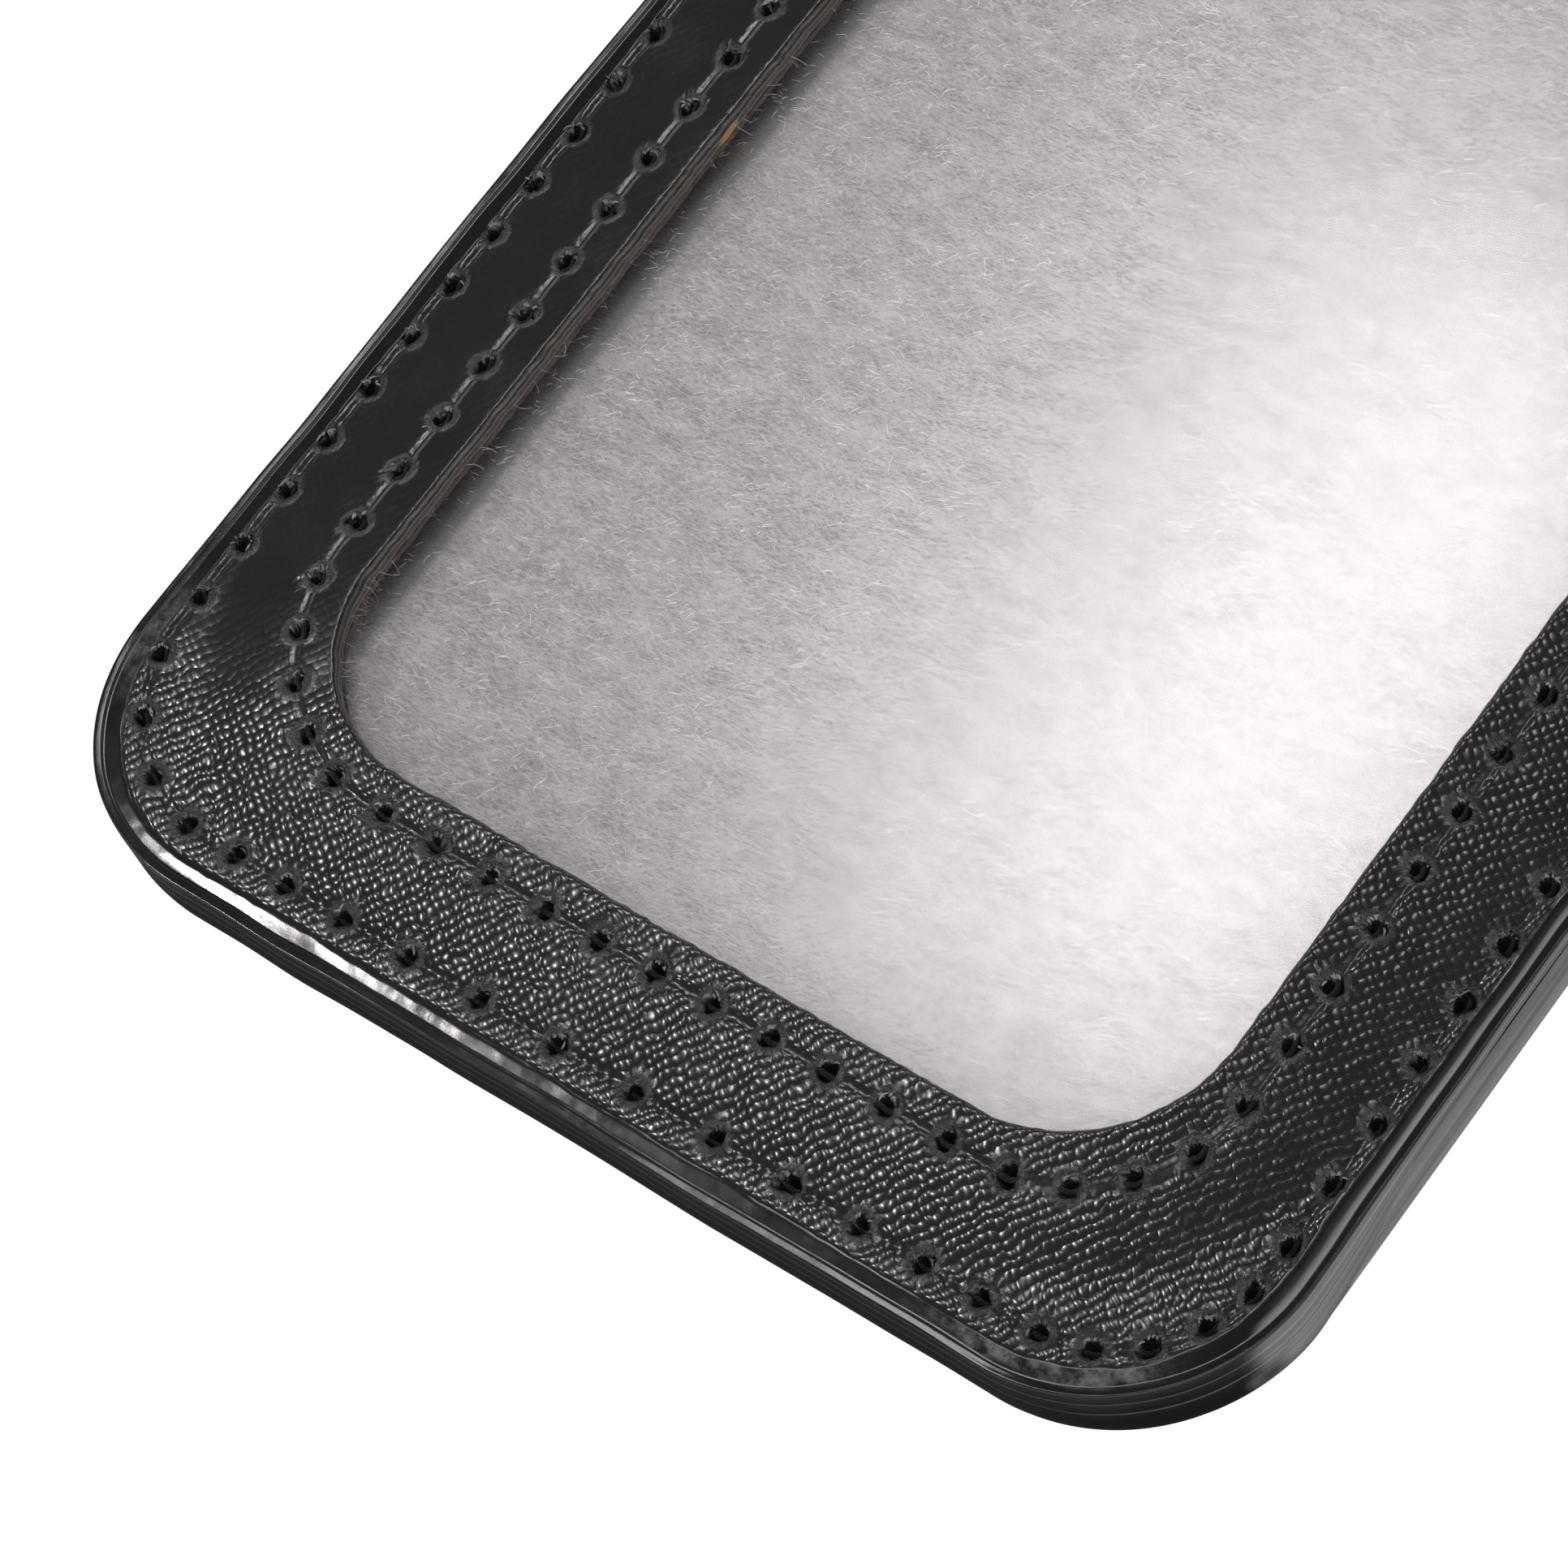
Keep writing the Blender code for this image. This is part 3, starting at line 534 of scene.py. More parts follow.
# Fibre finish. paleCut marks the pale shreds of a cut edge, glue a spot of yellow glue.
def fibreFinish(name, dark, pale, size=0.00022, stretch=(1.0, 1.0, 1.0), cut=False):
    made, tree, sockets = newFinish(name, Specular_IOR_Level=0.2, Sheen_Weight=0.15, Sheen_Roughness=0.4)
    fibres = useGroup(tree, felt, Place=objectPlace(tree), Stretch=stretch, Size=size)
    colour = twoTone(tree, fibres["Tone"], 0.36, 0.64, dark, pale)
    if cut:
        shreds = times(tree, attribute(tree, "paleCut"), rangeNode(tree, fibres["Nap"], 0.35, 0.6))
        colour = mixColour(tree, shreds, colour, (0.34, 0.305, 0.28, 1))
        colour = mixColour(tree, attribute(tree, "glue"), colour, (0.34, 0.20, 0.04, 1))
    feed(tree, colour, sockets["Base Color"])
    feed(tree, rangeNode(tree, fibres["Nap"], 0.3, 0.7, 0.75, 0.95), sockets["Roughness"])
    feed(tree, bumpNode(tree, fibres["Height"], napDepth), sockets["Normal"])
    return made


# Lining finish, brushed and clouded, with a painted shadow that darkens it beside the window's left wall.
def liningFinish(name):
    made, tree, sockets = newFinish(name, Specular_IOR_Level=0.2, Sheen_Weight=0.25, Sheen_Roughness=0.4)
    place = objectPlace(tree)
    fibres = useGroup(tree, felt, Place=place, Stretch=(0.55, 1.3, 1.0), Size=0.00022)
    marks = useGroup(tree, wear, Place=place, Size=0.012)
    shade = twoTone(tree, fibres["Tone"], 0.36, 0.63, (0.105, 0.0985, 0.100, 1), (0.30, 0.282, 0.285, 1))
    paler = rangeNode(tree, marks["Cloud"], 0.3, 0.7, 0.0, 0.30)
    shade = mixColour(tree, paler, shade, (0.36, 0.338, 0.342, 1))
    strand = times(tree, fibres["Strand"], 0.45)
    shade = mixColour(tree, strand, shade, (0.46, 0.432, 0.438, 1))
    spot = addNode(tree, "ShaderNodeSeparateXYZ")
    feed(tree, place, spot.inputs[0])
    side, low = -window["half"], window["low"]
    # Painted shadow: a dark band on the lining along the foot of the window's left wall.
    shadowAcross = rangeNode(tree, spot.outputs[0], side + 0.0002, side + 0.0009, 1.0, 0.0)
    shadowAlong = rangeNode(tree, spot.outputs[1], low + 0.0035, low + 0.0085, 0.0, 0.85)
    paintedShadow = times(tree, shadowAcross, shadowAlong)
    feed(tree, mixColour(tree, paintedShadow, shade, (0.020, 0.018, 0.017, 1)), sockets["Base Color"])
    feed(tree, rangeNode(tree, fibres["Nap"], 0.3, 0.7, 0.8, 0.98), sockets["Roughness"])
    height = plus(tree, fibres["Height"], times(tree, fibres["Strand"], 0.4))
    feed(tree, bumpNode(tree, height, napDepth), sockets["Normal"])
    return made


def threadFinish(name):
    made, tree, sockets = newFinish(name, Specular_IOR_Level=0.35, Sheen_Weight=0.2, Sheen_Roughness=0.4)
    fibres = useGroup(tree, felt, Place=objectPlace(tree), Size=0.00006)
    shade = twoTone(tree, fibres["Tone"], 0.35, 0.65, (0.006, 0.0045, 0.004, 1), (0.016, 0.012, 0.0105, 1))
    feed(tree, shade, sockets["Base Color"])
    feed(tree, rangeNode(tree, fibres["Nap"], 0.3, 0.7, 0.45, 0.65), sockets["Roughness"])
    feed(tree, bumpNode(tree, fibres["Height"], 0.00002), sockets["Normal"])
    return made


def nickelFinish(name):
    made, tree, sockets = newFinish(name, Metallic=1.0)
    place = objectPlace(tree)
    marks = useGroup(tree, wear, Place=place, Size=0.003)
    shade = twoTone(tree, marks["Cloud"], 0.3, 0.7, (0.60, 0.585, 0.56, 1), (0.70, 0.69, 0.67, 1))
    smeared = times(tree, marks["Smear"], 0.4)
    feed(tree, mixColour(tree, smeared, shade, (0.42, 0.41, 0.40, 1)), sockets["Base Color"])
    feed(tree, rangeNode(tree, marks["Smear"], 0.0, 1.0, 0.16, 0.34), sockets["Roughness"])
    drawn = vectorNode(tree, "MULTIPLY", place, (1.0, 14.0, 14.0))
    feed(tree, bumpNode(tree, noiseNode(tree, drawn, 900.0, 3.0), 0.000004), sockets["Normal"])
    return made


# Torn leather, dark with pale places: partly the pale of torn fibre, partly a painted highlight.
def burrFinish(name):
    made, tree, sockets = newFinish(name, Specular_IOR_Level=0.9)
    place = objectPlace(tree)
    marks = useGroup(tree, wear, Place=place, Size=0.004)
    # The pale tone is partly a painted highlight on the shreds' lips.
    shade = twoTone(tree, marks["Cloud"], 0.35, 0.65, (0.012, 0.011, 0.0105, 1), (0.24, 0.225, 0.22, 1))
    feed(tree, shade, sockets["Base Color"])
    feed(tree, rangeNode(tree, marks["Cloud"], 0.3, 0.7, 0.25, 0.40), sockets["Roughness"])
    feed(tree, bumpNode(tree, noiseNode(tree, place, 9000.0, 2.0, 0.6), 0.00008), sockets["Normal"])
    return made


# Single fibres, some darker than others.
def hairFinish(name, roughness, size, low, high, dark, pale):
    made, tree, sockets = newFinish(name, Roughness=roughness, Sheen_Weight=0.3)
    marks = useGroup(tree, wear, Place=objectPlace(tree), Size=size)
    feed(tree, twoTone(tree, marks["Cloud"], low, high, dark, pale), sockets["Base Color"])
    return made


# Clear film: a soft cloudy gloss on a clear sheet, which lets the lamps through.
def filmFinish(name):
    made, tree, sockets = newFinish(name, Base_Color=(0.99, 0.985, 0.985, 1), Roughness=0.03, IOR=1.03,
                                    Transmission_Weight=1.0, Coat_Weight=1.0, Coat_Roughness=0.175)
    place = objectPlace(tree)
    wave = bumpNode(tree, noiseNode(tree, place, 55.0), 0.00012)
    scratch = noiseNode(tree, vectorNode(tree, "MULTIPLY", place, (900.0, 5200.0, 1.0)), 1.0)
    feed(tree, bumpNode(tree, scratch, 0.000001, wave), sockets["Normal"])
    shadow = addNode(tree, "ShaderNodeLightPath").outputs["Is Shadow Ray"]
    clear = addNode(tree, "ShaderNodeBsdfTransparent").outputs[0]
    endMixed(tree, shadow, tree.nodes["Principled BSDF"].outputs[0], clear)
    return made


leatherSkin = leatherFinish("pebbledLeather", faded=True)
leatherPlain = leatherFinish("pebbledLeatherBack")
edgePaint = paintFinish("edgePaint")
brownFibre = fibreFinish("brownFibre", (0.012, 0.0092, 0.0076, 1), (0.085, 0.067, 0.056, 1), 0.00012,
                         (1.0, 1.0, 2.0), cut=True)
boardFibre = fibreFinish("greyBoard", (0.16, 0.145, 0.12, 1), (0.30, 0.28, 0.24, 1))
backingFibre = fibreFinish("blackBacking", (0.010, 0.010, 0.011, 1), (0.030, 0.030, 0.032, 1), 0.00012)
greyLining = liningFinish("greyLining")
darkThread = threadFinish("darkThread")
nickel = nickelFinish("nickel")
clearFilm = filmFinish("clearFilm")
burrLeather = burrFinish("burrLeather")
looseHair = hairFinish("looseHair", 0.5, 0.002, 0.4, 0.6, (0.20, 0.175, 0.155, 1), (0.50, 0.47, 0.45, 1))
paleFibre = hairFinish("paleFibre", 0.55, 0.004, 0.35, 0.65, (0.60, 0.575, 0.58, 1), (0.95, 0.92, 0.925, 1))
print("finishes made")


# Seams. A seam line is a closed outline with its length measured along it.
def seamLine(shape):
    points = outline(shape)
    closed = np.vstack([points, points[:1]])
    along = lengthAlong(closed)
    return {"points": closed, "along": along, "length": along[-1], "shape": shape}


def seamAt(line, station):
    station = np.mod(station, line["length"])
    x = np.interp(station, line["along"], line["points"][:, 0])
    y = np.interp(station, line["along"], line["points"][:, 1])
    return np.stack([x, y], -1)


def nearestStation(line, x, y):
    return line["along"][np.argmin(np.hypot(line["points"][:, 0] - x, line["points"][:, 1] - y))]


# Needle holes from one station to another, each one pitch on from the last.
def holesAlong(line, start, end, pitchAt):
    stations = [start]
    sign = 1 if end > start else -1
    while (end - stations[-1]) * sign > 0:
        x, y = seamAt(line, stations[-1])
        stations.append(stations[-1] + sign * pitchAt(x, y))
    return stations[:-1]


edgeSeam = {
    "half": 0.03304,
    "shift": -0.00011,
    "low": holder["bottom"] + 0.0028,
    "high": holder["top"] - 0.0030,
    "radii": (0.00885, 0.0076, 0.0084, 0.0084),
    "pitch": 0.00337,
    "cornerPitch": (0.0035, 0.0026),
    "anchor": -0.00227,
    "sink": 0.00030,  # the thread is pulled under the skin between its holes
    "groove": 0.00009,
    "shadeShare": 0.15,
    "frontEnd": holder["mouth"] - 0.0042,  # where the last stitch on the front goes down
    "headerStart": holder["mouth"] + 0.0016,
    "tabGap": 0.0075,
}
windowSeam = {
    "half": 0.02796,
    "shift": -0.00021,
    "low": window["low"] - 0.0020,
    "high": window["high"] + 0.0020,
    "radii": (0.0110, 0.0087, 0.0106, 0.0106),
    "pitch": 0.00340,
    "cornerPitch": 0.0030,
    "anchor": 0.00344,
    "sink": 0.00030,
    "groove": 0.00008,
    "shadeShare": 1.0,
}
stitches = {
    "grooveHalf": 0.00021,
    "holeDepth": 0.00080,
    "holeHalf": 0.00038,
    "lipHeight": 0.00020,
    "lipReach": 0.00056,  # how far from a hole's middle its lip and its torn skin lie
    "lipHalf": 0.00015,
    "tornReach": 0.00052,
    "tornHalf": 0.00030,
    "dimple": 0.00008,
    "dimpleHalf": 0.00095,
    "threadRadius": 0.000075,
    "twist": 0.0008,
    "diveHalf": 0.00042,
    "windowDive": 0.00040,
    "edgeDive": 0.00045,
    "headerDive": 0.00040,
    "stepDive": 0.0007,
    "underWindowDive": -0.00012,  # the bobbin threads come up towards their holes
    "underEdgeDive": -0.00022,
    "backHeight": 0.00030,
}


def edgePitch(x, y):
    if y > edgeSeam["low"] + 0.0080:
        return edgeSeam["pitch"]
    if abs(x) > 0.0250:
        return edgeSeam["cornerPitch"][0 if x < 0 else 1]
    return 0.0031 + 0.00165 * math.cos(math.pi * x / 0.050) ** 2


def windowPitch(x, y):
    turning = y < windowSeam["low"] + 0.0070 and abs(x) > 0.0200
    return windowSeam["cornerPitch"] if turning else windowSeam["pitch"]


edgeLine = seamLine(edgeSeam)
windowLine = seamLine(windowSeam)


# Stations round the edge: the front's, from its left end to its right, then each side of the header.
def edgeHoles():
    anchor = nearestStation(edgeLine, edgeSeam["anchor"], edgeSeam["low"])
    right = nearestStation(edgeLine, edgeSeam["half"], edgeSeam["frontEnd"])
    left = nearestStation(edgeLine, -edgeSeam["half"], edgeSeam["frontEnd"]) - edgeLine["length"]
    front = holesAlong(edgeLine, anchor, left, edgePitch)[:0:-1]
    front += holesAlong(edgeLine, anchor, right, edgePitch)
    sides = []
    for sign in (-1, 1):
        back = edgeLine["length"] if sign < 0 else 0
        start = nearestStation(edgeLine, sign * edgeSeam["half"], edgeSeam["headerStart"]) - back
        end = nearestStation(edgeLine, sign * edgeSeam["tabGap"], edgeSeam["high"]) - back
        count = round(abs(end - start) / edgeSeam["pitch"])
        sides.append(np.linspace(start, end, count + 1).tolist())
    return front, sides[0][::-1], sides[1]


frontHoles, leftHoles, rightHoles = edgeHoles()
anchor = nearestStation(windowLine, windowSeam["anchor"], windowSeam["low"])
windowHoles = np.array(holesAlong(windowLine, anchor, anchor + windowLine["length"], windowPitch))
spare = windowHoles[-1] + windowSeam["pitch"] - anchor
windowHoles = anchor + (windowHoles - anchor) * windowLine["length"] / spare
print(len(frontHoles), "edge stitches on the front,", len(windowHoles), "window stitches")

edgePoints = seamAt(edgeLine, np.array(leftHoles + frontHoles + rightHoles))
windowPoints = seamAt(windowLine, windowHoles)


# How far a seam moves the skin, and how torn and how sunk it is there: a groove, and a pit with a raised
# lip at each needle hole.
def seamRelief(x, y, line, holePoints, seed):
    off = np.abs(boxDistance(x, y, line["shape"]))
    near = np.full(x.shape, 1.0)
    offY = np.zeros(x.shape)
    for px, py in holePoints:
        away = np.hypot(x - px, y - py)
        closer = away < near
        near = np.where(closer, away, near)
        offY = np.where(closer, y - py, offY)
    ragged = 1 + lumps(x, y, (0.36, 0.00040, seed), (0.22, 0.00020, seed + 1))
    sunk = np.exp(-(off / stitches["grooveHalf"]) ** 2)
    groove = line["shape"]["groove"] * sunk
    pit = stitches["holeDepth"] * np.exp(-(near / (stitches["holeHalf"] * ragged)) ** 4)
    dimple = stitches["dimple"] * np.exp(-(near / stitches["dimpleHalf"]) ** 2)
    lip = np.exp(-((near - stitches["lipReach"] * ragged) / stitches["lipHalf"]) ** 2)
    lip = lip * (0.5 + 0.5 * offY / np.maximum(near, 1e-6))
    raised = stitches["lipHeight"] * lip * (0.6 + 0.4 * cloud(x, y, 0.00026, seed + 2))
    pit = np.maximum(pit - groove * 0.5, 0)
    torn = np.exp(-((near - stitches["tornReach"]) / stitches["tornHalf"]) ** 2)
    return raised - groove - pit - dimple, torn, sunk * line["shape"]["shadeShare"]


windowShape = {"half": window["half"], "low": window["low"], "high": window["high"],
               "radii": (window["corner"],) * 4}


def crownHeight(x, y):
    away = np.maximum(boxDistance(x, y, windowShape), 0) / window["crownRun"]
    away = np.clip(away, 0, 1)
    return window["crown"] * (0.6 * (1 - away) + 0.4 * np.cos(np.pi / 2 * away))


def mouthLift(x):
    return holder["mouthRise"] * np.maximum(1 - (x / holder["riseHalf"]) ** 2, 0)


crease = {"inset": 0.0030, "depth": 0.00022, "half": 0.0004, "endX": 0.0325}


# The pressed line along the card mouth, which follows its dip.
def mouthCrease(x, y):
    off = np.abs(holder["mouth"] - thumbDip(x, holder["dipDepth"]) - crease["inset"] - y)
    fade = smoothStep((crease["endX"] - np.abs(x)) / 0.001)
    return crease["depth"] * np.exp(-(off / crease["half"]) ** 2) * fade


# Unevenness of the skin, in layers for lumps, and the broad part of it that the lip follows.
skinLumps = [(0.00005, 0.0070, 3), (0.00003, 0.0026, 4), (0.000012, 0.0011, 5)]
lipLumps = [(0.00004, 0.0070, 3), (0.00003, 0.0026, 4)]


# The height of the front skin over its crown and unevenness, before its seams are pressed in.
def skinHeight(x, y, riseShare):
    lift = mouthLift(x) * riseShare * smoothStep((y - window["high"]) / 0.002)
    return holder["rimTop"] + crownHeight(x, y) + lift + lumps(x, y, *skinLumps)


def skinRelief(x, y):
    edgeRelief, edgeTorn, edgeSunk = seamRelief(x, y, edgeLine, edgePoints, 11)
    windowRelief, windowTorn, windowSunk = seamRelief(x, y, windowLine, windowPoints, 21)
    relief = edgeRelief + windowRelief - mouthCrease(x, y)
    return relief, np.maximum(edgeTorn, windowTorn), np.maximum(edgeSunk, windowSunk)


# Height of the rim's bead above the leather's shoulder, by how far inside the edge it lies.
beadInsets = np.array([0, 0.1, 0.4, 1, 2, 3.2, 5, 10, 17, 24, 31, 38, 43, 45, 47, 49, 52,
                       66, 88, 112, 135]) / 100000
beadHeights = np.array([-40, -24, -14, -8.5, -4.2, -1.8, -0.4, 0, -0.5, -1.1, -1.7, -2.3, -2.9, -4.2, -7.5,
                        -11, -12.6, -11.4, -8.6, -5.8, -3]) / 100000


def rimHeight(inset):
    return holder["rimTop"] + np.interp(inset, beadInsets, beadHeights)


# On the right the crest leans in more steeply.
def rightLean(inset, x):
    lean = -0.00006 * np.interp(inset, (0.00006, 0.00049, 0.00135), (0, 1, 0))
    return lean * smoothStep((x - 0.0190) / 0.0090)


# Hand-dressed edges: a slow wander of the wall, and side walls that lean in towards the table.
def wallShift(xy, z):
    x, y = xy.T
    outward = lumps(x, y, (0.00007, 0.0085, 31), (0.00004, 0.0035, 32))
    upTheSide = smoothStep((y - holder["bottom"] - 0.009) / 0.014) * smoothStep((np.abs(x) - 0.030) / 0.003)
    upTheSide = upTheSide * smoothStep((holder["mouth"] - y) / 0.012)
    outward = outward - holder["sideLean"] * upTheSide * (1 - z / holder["rimTop"])
    middle = np.stack([np.clip(x, -0.024, 0.024), np.maximum(y, holder["bottom"] + holder["corner"])], 1)
    return xy + unitRows(xy - middle) * np.where(y > holder["mouth"] - 0.001, 0, outward)[:, None]


glue = {"x": -0.0258, "y": -0.0150, "half": 0.00055, "shape": 0.55, "ragged": (0.00025, 0.0005, 46)}


# The skin is pulled smooth along the left side.
def smoothLeft(x, y):
    side = smoothStep((0.0012 * cloud(x, y, 0.004, 45) - x - 0.0215) / 0.0035)
    return 1 - 0.75 * side * smoothStep((y - holder["bottom"] - 0.0060) / 0.0070)


# The skin's insets from the holder's edge, and its distances from the window, close together at the seams.
skin = {
    "outer": np.concatenate([[0.00045, 0.0007, 0.0010, 0.0012, 0.00135], np.arange(0.0015, 0.00265, 0.0001),
                             [0.0028, 0.0030]]),
    "inner": np.concatenate([[0.0029, 0.0027], np.arange(0.0026, 0.0013, -0.0001),
                             [0.0011, 0.0008, 0.0005]]),
    "between": 10,
    "endMore": 0.0007,  # how much further in the rings lie at the ends, where the seam does too
    "endShare": 0.87,
    "beadEdge": 0.00135,
    "underBead": 0.00014,
    "lipRadius": 0.0003,
    "fray": (0.00005, 0.0021, 41),
    "fineFray": (0.00003, 0.0004, 42),
}


# Front leather: one closed loft from under the rim's bead, over the seams, to the lip.
def makeLeatherFront():
    rows = []
    for side in skin["outer"]:
        end = side + skin["endMore"] * smoothStep((side - 0.00115) / 0.00115)
        rows.append([frontRing(side, end), side, 1.0])
    lastOuter = rows[-1][0]
    widest = skin["inner"][0]
    firstInner = windowRing(widest, widest * skin["endShare"])
    for share in np.arange(1, skin["between"] + 1) / (skin["between"] + 1):
        rows.append([mixed(lastOuter, firstInner, share), 1.0, 1 - smoothStep(share * 0.8)])
    for side in skin["inner"]:
        rise = (1 - smoothStep(0.8)) * side / widest
        rows.append([windowRing(side, side * skin["endShare"]), 1.0, rise])
    loft = []
    places = []
    grainShare = []
    tornShare = []
    sunkShare = []
    for xy, inset, rise in rows:
        x, y = xy.T
        relief, torn, sunk = skinRelief(x, y)
        height = skinHeight(x, y, rise) + relief
        tornShare.append(torn)
        sunkShare.append(sunk)
        under = smoothStep((skin["beadEdge"] - inset) / 0.0002)
        tucked = rimHeight(inset) - skin["underBead"] + mouthLift(x) * (y > window["high"])
        height = mixed(height, tucked, under)
        loft.append([xy, height])
        places.append(xy)
        fade = smoothStep((inset - 0.00115) / 0.0005) if inset < 0.9 else 1.0
        grainShare.append(fade * smoothLeft(x, y))
    lipRadius = skin["lipRadius"]
    lipZ = window["lipTop"] - window["crown"] * 0.02
    wall = []
    for turn in np.radians((0, 18, 36, 54, 72, 90)):
        margin = lipRadius * (1 - math.sin(turn))
        wall.append([windowRing(margin, margin), lipZ - lipRadius * (1 - math.cos(turn))])
    for level in np.linspace(lipZ - lipRadius, window["lipUnder"], 6)[1:]:
        wall.append([windowRing(0, 0), level])
    middleLow, middleHigh = window["low"] + 0.009, window["high"] - 0.009
    for index, (xy, level) in enumerate(wall):
        x, y = xy.T
        fray = lumps(x * 3, y * 3 + level * 2, skin["fray"]) + lumps(x, y + level, skin["fineFray"])
        out = unitRows(xy - np.stack([np.clip(x, -0.017, 0.017), np.clip(y, middleLow, middleHigh)], 1))
        wave = lumps(x, y, *lipLumps)
        xy = xy + out * (fray * min(index / 4, 1))[:, None]
        loft.append([xy, level + wave * (1 if index < 6 else 0)])
        places.append(xy)
        grainShare.append((1.0 if index < 3 else 0.3) * smoothLeft(x, y))
    under = [[windowRing(0.0023, 0.0020), window["lipTop"] - window["crown"] * 0.33 - 0.0009],
             [frontRing(0.0023, 0.0030), holder["rimUnder"]],
             [frontRing(0.00045, 0.00045), holder["rimUnder"]]]
    for index, (xy, level) in enumerate(under):
        lift = mouthLift(xy[:, 0]) * (xy[:, 1] > window["high"]) if index else 0
        loft.append([xy, level + lift])
        places.append(xy)
        grainShare.append(np.zeros(len(xy)))
    count = len(loft[0][0])
    faces = rowFaces(len(loft), count, True)
    firstCore = len(rows) + 6
    slots = np.zeros(len(faces), int)
    slots[firstCore * count:] = 1
    made = newPiece("leatherFront", stacked(loft), faces, [leatherSkin, brownFibre],
                    stands=["front_panel"], angle=60, faceSlots=slots)
    flat = np.concatenate(places)
    setPlace(made, flat)
    setMask(made, "grainShare", np.concatenate(grainShare))
    wallCount = len(flat) - len(rows) * count
    setMask(made, "torn", np.pad(np.concatenate(tornShare), (0, wallCount)))
    setMask(made, "sunk", np.pad(np.concatenate(sunkShare), (0, wallCount)))
    paleRows = np.zeros(len(loft))
    paleRows[[firstCore - 1, firstCore, len(rows) + len(wall) - 1]] = 1
    setMask(made, "paleCut", np.repeat(paleRows, count))
    x, y = flat.T
    away = np.hypot(x - glue["x"], (y - glue["y"]) * glue["shape"])
    setMask(made, "glue", smoothStep((glue["half"] + lumps(x, y, glue["ragged"]) - away) / 0.0002))


makeLeatherFront()

# Whitish smears on the painted edge, near these places: x, y, reach.
smearPlaces = [(-0.0343, -0.0515, 0.0026), (0.0255, -0.0606, 0.0040), (0.0300, -0.0588, 0.0020)]


def smearAt(points):
    x, y, z = points.T
    total = np.zeros(len(points))
    for sx, sy, reach in smearPlaces:
        total += np.exp(-((x - sx) ** 2 + (y - sy) ** 2) / reach ** 2)
    inset = -boxDistance(x, y, {"half": holder["half"], "low": holder["bottom"], "high": holder["mouth"],
                                "radii": (holder["corner"],) * 4})
    onLap = smoothStep((inset - 0.0004 - 0.0003 * cloud(x, y, 0.0017, 56)) / 0.0004)
    return np.clip(total, 0, 1) * onLap * smoothStep((z - holder["rimTop"] + 0.0004) / 0.0002)


# Grey along the right wall, from above the corner: partly rubbed wear, partly a painted reflection that
# lightens this side.
def wearAndReflectionAt(points):
    x, y, z = points.T
    side = smoothStep((x - holder["half"] + 0.0012) / 0.0003)
    side = side * smoothStep((holder["rimTop"] - 0.0001 - z) / 0.0001)
    return side * smoothStep((y - holder["bottom"] - 0.0062 + 0.0015 * cloud(z, y, 0.0012, 55)) / 0.0030)


# A piece of edge paint, from its rows. It is a closed loft where it has no faces of its own.
def paintedPiece(name, placed, node, faces=None, angle=50):
    points = stacked(placed)
    if faces is None:
        faces = rowFaces(len(placed), len(placed[0][0]), True)
    made = newPiece(name, points, faces, [edgePaint], stands=[node], angle=angle)
    setMask(made, "smear", smearAt(points))
    setMask(made, "wearAndReflection", wearAndReflectionAt(points))


# Front rim: a wall, a crest and a feather edge that laps on to the leather.
def makeFrontRim():
    under = holder["rimUnder"]
    rows = [(0.00035, under), (0.00003, under), (0.00001, under + 0.00003), (0, under + 0.0001)]
    for inset in beadInsets:
        rows.append((inset, rimHeight(inset)))
    rows += [(0.00139, holder["rimTop"] - 0.00004), (0.00139, holder["rimTop"] - 0.0003)]
    placed = []
    for inset, level in rows:
        ring = frontRing(inset, inset)
        x, y = ring.T
        if inset > 0.0002:
            more = lumps(x, y, (0.00009, 0.0016, 61), (0.00005, 0.0006, 62))
            more = more * smoothStep((inset - 0.0005) / 0.00085)
            more = more + lumps(x, y, (0.00005, 0.0031, 64)) * smoothStep((inset - 0.0001) / 0.0004)
            ring = ring + (frontRing(inset + 0.001, inset + 0.001) - ring) * (more / 0.001)[:, None]
        lift = mouthLift(x) * (y > window["high"])
        crest = 0.00003 * cloud(x, y, 0.0042, 63) * math.exp(-((inset - 0.0002) / 0.0003) ** 2)
        crest = crest + rightLean(inset, x)
        placed.append([wallShift(ring, level) if inset < 0.0008 else ring, level + lift + crest])
    paintedPiece("frontRim", placed, "front_edge_paint", angle=60)


makeFrontRim()


# Filler strip between back and front, open at the card mouth.
def makeFiller():
    low, high = gussetLow.z - 0.00004, gussetHigh.z + 0.00009
    width = holder["gussetWidth"]
    section = [(width, low), (0.00004, low), (0.00001, low + 0.00003), (0, low + 0.0001),
               (0, high - 0.0001), (0.00001, high - 0.00003), (0.00004, high), (width, high)]
    start = sum(steps["corners"][:2]) + sum(steps["runs"][:2])
    mouthCount = sum(steps["corners"][2:]) + steps["runs"][2]
    placed = []
    for inset, level in section:
        ring = frontRing(inset, inset)
        ring = wallShift(ring, level) if inset < 0.0006 else ring
        placed.append([np.roll(ring, -start - mouthCount, 0)[:len(ring) - mouthCount], level])
    count = len(placed[0][0])
    faces = [f for f in rowFaces(len(placed), count, True) if f[1] % count]
    faces += [[row * count + end for row in range(len(placed))] for end in (0, count - 1)]
    paintedPiece("fillerStrip", placed, "gusset", faces)


makeFiller()


